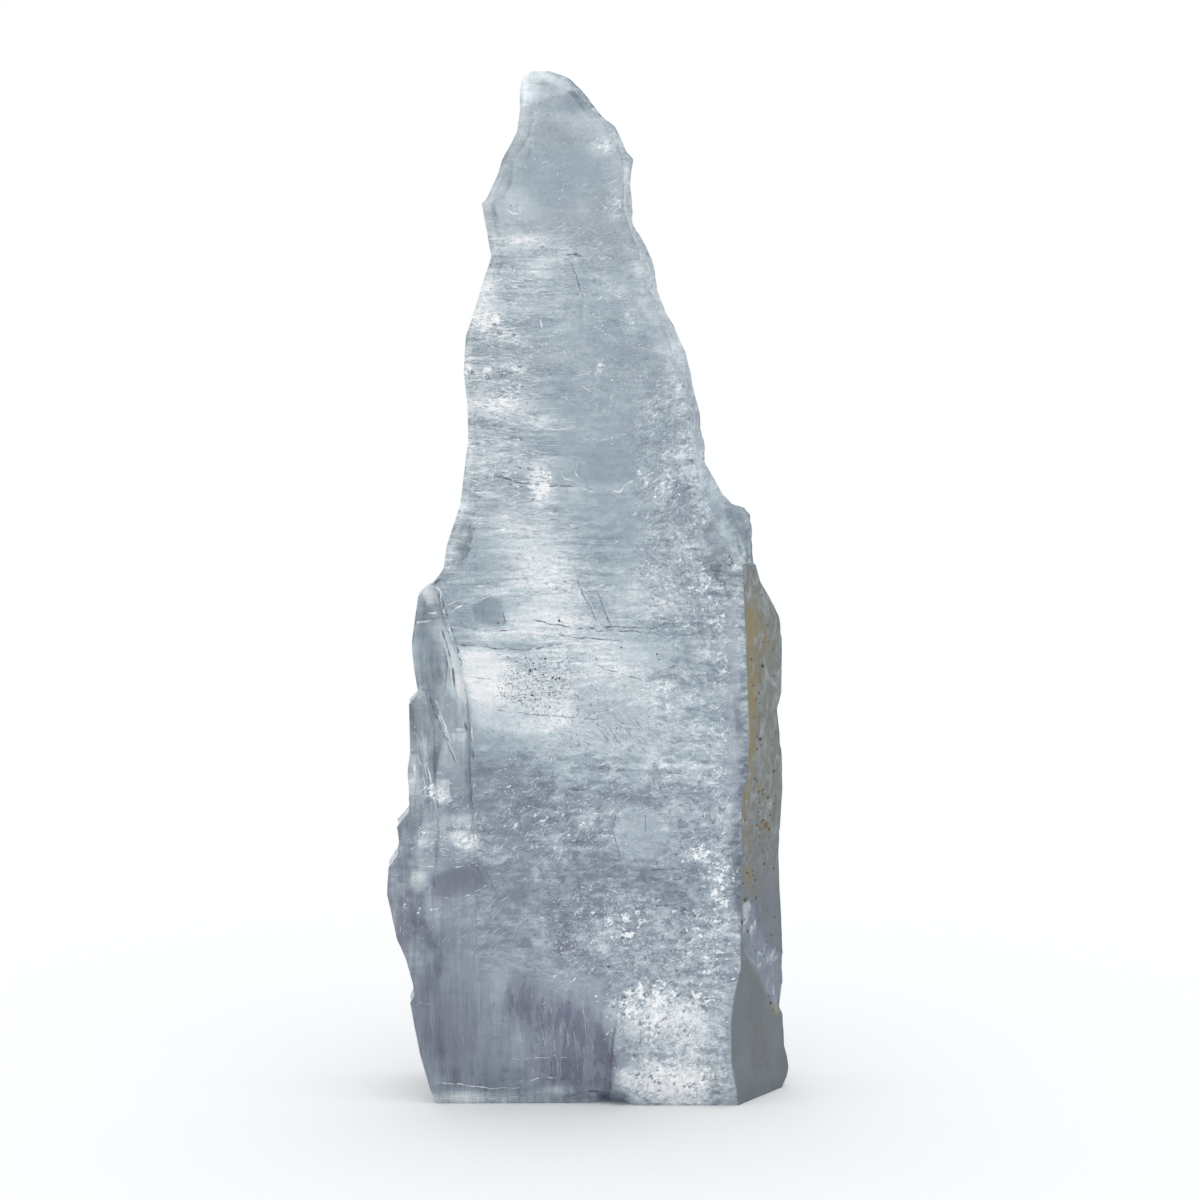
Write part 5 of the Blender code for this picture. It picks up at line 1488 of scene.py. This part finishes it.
    # bright flaws and painted glints: more of the noise passes the threshold where they gather
    over = total(chips, weigh(glint, 0.23), -0.705)
    glint_paint = weigh(span(tree, over, 0.0, 0.035, 0.0, 1.0), span(tree, glint, 0.0, 1.0, 0.16, 0.42))
    long = weigh(span(tree, total(streak, weigh(glint, 0.20), -0.695), 0.0, 0.03, 0.0, 0.36), level_at)
    glint_paint = math_node(tree, "MAXIMUM", glint_paint, long)
    # painted shade: dark pits between the glints where they gather
    pits = weigh(span(tree, total(chips, weigh(glint, -0.10)), 0.34, 0.27, 0.0, -0.16), total(glint, 0.2))
    value = total(tone, texture, glint_paint, pits, weigh(even_at, 0.03))
    value = math_node(tree, "ADD", value, 0.0, True)

    tint = ramp(tree, value, (
        (0.00, (0.060, 0.066, 0.105)), (0.25, (0.158, 0.185, 0.245)), (0.47, (0.357, 0.428, 0.484)),
        (0.70, (0.80, 0.86, 0.88)), (0.86, (0.99, 0.99, 0.99)), (1.0, (1.0, 1.0, 1.0))))
    haze = ramp(tree, value, ((0.0, (0.13, 0.115, 0.165)), (0.35, (0.27, 0.26, 0.34)), (0.7, (0.80, 0.84, 0.90))))
    tint = mix(tree, weigh(attribute(tree, "smoke"), 0.7), tint, haze)
    tree.links.new(tint, shader.inputs["Base Color"])
    clear = ramp(tree, value, ((0.0, (0.93,) * 3), (0.62, (0.88,) * 3), (0.80, (0.60,) * 3), (0.97, (0.15,) * 3)))
    patchy = weigh(frost, span(tree, cloud, 0.3, 0.7, 0.6, 1.4))
    clear = math_node(tree, "MULTIPLY", clear, span(tree, patchy, 0.0, 1.0, 1.0, 0.15), True)
    tree.links.new(clear, shader.inputs["Transmission Weight"])
    tree.links.new(span(tree, total(even, weigh(patchy, 0.5)), 0.3, 1.0, 0.06, 0.26), shader.inputs["Roughness"])
    grit = noise_node(tree, 0.9, 2, 0.6, squash=(1, 1, 1.6))
    tree.links.new(bump(tree, grit, total(weigh(even_at, 0.5), weigh(level_at, 0.3), 0.1), 0.0002), shader.inputs["Normal"])
    shader.inputs["IOR"].default_value = IOR
    absorb = tree.nodes.new("ShaderNodeVolumeAbsorption")
    absorb.inputs["Color"].default_value = (0.45, 0.60, 0.70, 1.0)
    absorb.inputs["Density"].default_value = 22.0
    tree.links.new(absorb.outputs["Volume"], tree.nodes["Material Output"].inputs["Volume"])
    return material


def growth_material():
    """The dull growth face: blue-grey, mottled white, dusted with iron down its inner edge. Its dark grey is partly
    painted shade, for a face turned away from the light.
    """
    material, tree, shader = new_material("growth_face")
    stain, plain, clear = attribute(tree, "stain"), attribute(tree, "smoke"), attribute(tree, "glint")
    mottle = noise_node(tree, 0.55, 5, 0.68, squash=(1, 1, 0.6), distortion=0.8)
    grains = noise_node(tree, 4.2, 3, 0.62)
    patchy = noise_node(tree, 0.22, 4, 0.6, squash=(1, 1, 0.6))
    # partly painted shade: these greys are kept dark for a face turned away from the light
    upper = ramp(tree, mottle, ((0.34, (0.138, 0.156, 0.146)), (0.50, (0.190, 0.208, 0.202)), (0.66, (0.31, 0.335, 0.35))))
    lower = ramp(tree, patchy, ((0.35, (0.134, 0.152, 0.166)), (0.65, (0.166, 0.190, 0.218))))
    base = mix(tree, plain, upper, lower)
    lift = math_node(tree, "ADD", math_node(tree, "MULTIPLY", stain, 1.8), span(tree, mottle, 0.36, 0.66, 0.25, -0.75))
    amount = span(tree, math_node(tree, "ADD", lift, span(tree, grains, 0.36, 0.64, -0.38, 0.38)), 0.15, 1.2, 0.0, 0.75)
    rust = ramp(tree, patchy, ((0.36, (0.285, 0.208, 0.070)), (0.66, (0.222, 0.190, 0.095))))
    base = mix(tree, amount, base, rust)
    dusty = span(tree, math_node(tree, "SUBTRACT", 1.0, plain), 0.0, 1.0, 0.10, 0.42)
    dots = math_node(tree, "MULTIPLY", span(tree, grains, 0.60, 0.68, 0.0, 1.0), dusty)
    base = mix(tree, dots, base, (0.12, 0.115, 0.085))
    window = ramp(tree, mottle, ((0.38, (0.145, 0.17, 0.22)), (0.57, (0.20, 0.24, 0.30)), (0.67, (0.52, 0.58, 0.65))))
    base = mix(tree, clear, base, window)
    tree.links.new(base, shader.inputs["Base Color"])
    tree.links.new(span(tree, clear, 0.0, 1.0, 0.62, 0.28), shader.inputs["Roughness"])
    tree.links.new(bump(tree, grains, 0.5, 0.00007), shader.inputs["Normal"])
    return material


def veil_material(name, dark, middle, light, white):
    material, tree, shader = new_material(name)
    tone = attribute(tree, "tone")
    cloud = noise_node(tree, 1.4, 6, 0.65)
    value = math_node(tree, "ADD", tone, span(tree, cloud, 0.3, 0.7, -0.12, 0.12), True)
    tree.links.new(ramp(tree, value, ((0.0, dark), (0.38, middle), (0.68, light), (1.0, white))), shader.inputs["Base Color"])
    shader.inputs["Roughness"].default_value = 0.25
    shader.inputs["Transmission Weight"].default_value = 0.88
    shader.inputs["IOR"].default_value = 1.0
    return material


def sliver_material(name, dull, vivid, roughness):
    material, tree, shader = new_material(name)
    tone = attribute(tree, "tone")
    fine = noise_node(tree, 6.0, 3, 0.6)
    value = math_node(tree, "ADD", tone, span(tree, fine, 0.3, 0.7, -0.15, 0.15), True)
    tree.links.new(ramp(tree, value, ((0.0, dull), (1.0, vivid))), shader.inputs["Base Color"])
    tree.links.new(span(tree, fine, 0.3, 0.7, roughness * 0.8, roughness * 1.2), shader.inputs["Roughness"])
    return material


def film_material(name, through):
    """A cleavage film thin enough to see through."""
    material = sliver_material(name, (0.70, 0.76, 0.82), (1.0, 1.0, 1.0), 0.25)
    shader = material.node_tree.nodes["Principled BSDF"]
    shader.inputs["Transmission Weight"].default_value = through
    shader.inputs["IOR"].default_value = 1.0
    return material


# --------------------------------------------------------------------- studio


def studio():
    scene = bpy.context.scene
    scene.view_settings.view_transform = "Standard"
    world = bpy.data.worlds.new("studio")
    world.use_nodes = True
    tree = world.node_tree
    where = tree.nodes.new("ShaderNodeTexCoord")
    parts = tree.nodes.new("ShaderNodeSeparateXYZ")
    tree.links.new(where.outputs["Generated"], parts.inputs["Vector"])
    height = math_node(tree, "MULTIPLY", math_node(tree, "ADD", parts.outputs["Z"], 1.0), 0.5)
    pale, dim, bright = (1.0, 1.0, 1.0), (0.36, 0.38, 0.40), (1.9, 1.95, 2.0)
    colour = ramp(tree, height, ((0.0, pale), (0.585, pale), (0.66, dim), (0.80, dim), (0.87, bright)))
    background = tree.nodes["Background"]
    tree.links.new(colour, background.inputs["Color"])
    background.inputs["Strength"].default_value = 1.0
    scene.world = world

    mesh = bpy.data.meshes.new("floor")
    s = 3.0
    mesh.from_pydata([(-s, -s, 0), (s, -s, 0), (s, s, 0), (-s, s, 0)], [], [(0, 1, 2, 3)])
    floor = bpy.data.objects.new("floor", mesh)
    floor.location.z = -0.00002
    scene.collection.objects.link(floor)
    material, tree, shader = new_material("pale_floor")
    shader.inputs["Base Color"].default_value = (0.80, 0.79, 0.78, 1.0)
    shader.inputs["Roughness"].default_value = 0.9
    shader.inputs["Specular IOR Level"].default_value = 0.0
    mesh.materials.append(material)

    camera = bpy.data.cameras.new("camera")
    camera.lens = LENS
    camera.sensor_width = 36.0
    camera.clip_start = 0.01
    view = bpy.data.objects.new("camera", camera)
    view.location = TARGET + Vector((0.0, -math.cos(ELEVATION), math.sin(ELEVATION))) * DISTANCE
    view.rotation_euler = (math.radians(90.0) - ELEVATION, 0.0, 0.0)
    scene.collection.objects.link(view)
    scene.camera = view


def settle(piece, material):
    piece.data.materials.append(material)
    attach(piece, "root")


studio()
body = build_body()
body.data.materials.append(crystal_material())
body.data.materials.append(growth_material())
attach(body, "root")
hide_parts("selenite_slab")
hull = Hull(body)

skin = Skin(hull)
veil = veil_material("cleavage_veil", (0.13, 0.12, 0.19), (0.42, 0.46, 0.54), (0.78, 0.82, 0.86), (0.98, 0.985, 0.99))
# white flaws, also used as painted glints and painted highlights
glint_white = sliver_material("white_flaw_painted_glint", (0.42, 0.49, 0.56), (1.0, 1.0, 1.0), 0.3)
# dark flaws, also used as painted shade in pits and along cracks
shade = sliver_material("dark_flaw_painted_shade", (0.13, 0.155, 0.20), (0.31, 0.36, 0.43), 0.4)
iron = sliver_material("iron_speck", (0.035, 0.035, 0.04), (0.19, 0.115, 0.06), 0.6)


def add(name, made, material, angle=None):
    verts, faces, tones = made
    settle(make_object(name, verts, faces, {"tone": tones}, angle), material)


add("smoke_veils", smoke(hull), veil_material("purple_smoke", (0.72, 0.69, 0.79), (0.79, 0.77, 0.86), (0.86, 0.85, 0.92), (0.95, 0.95, 0.98)), 40)
add("crack_shelves", join([shelf(hull, n, spec) for n, spec in enumerate(SHELVES)]), veil, 40)
# white chips that also serve as painted glints on the front
add("white_chips_painted_glints", chips(skin, False), glint_white)
# dark chips that serve as painted shade in small pits
add("dark_chips_painted_shade", chips(skin, True), shade)
add("side_chips", join([chips(Skin(hull, side), False) for side in ("left", "right")]), film_material("side_film", 0.45))
add("rear_chips", chips(Skin(hull, "rear"), False), film_material("rear_film", 0.85))
lines = strokes(skin)
# dark cracks, with painted shade along them
add("dark_cracks_painted_shade", lines[0], shade)
# bright edges: painted highlights along cracks and steps
add("bright_edges_painted_highlight", lines[1], glint_white)
add("iron_specks", speck_mesh(hull), iron, 60)

for thing in bpy.context.scene.objects:
    if thing.type == "MESH":
        print("piece", thing.name, sum(len(p.vertices) - 2 for p in thing.data.polygons))
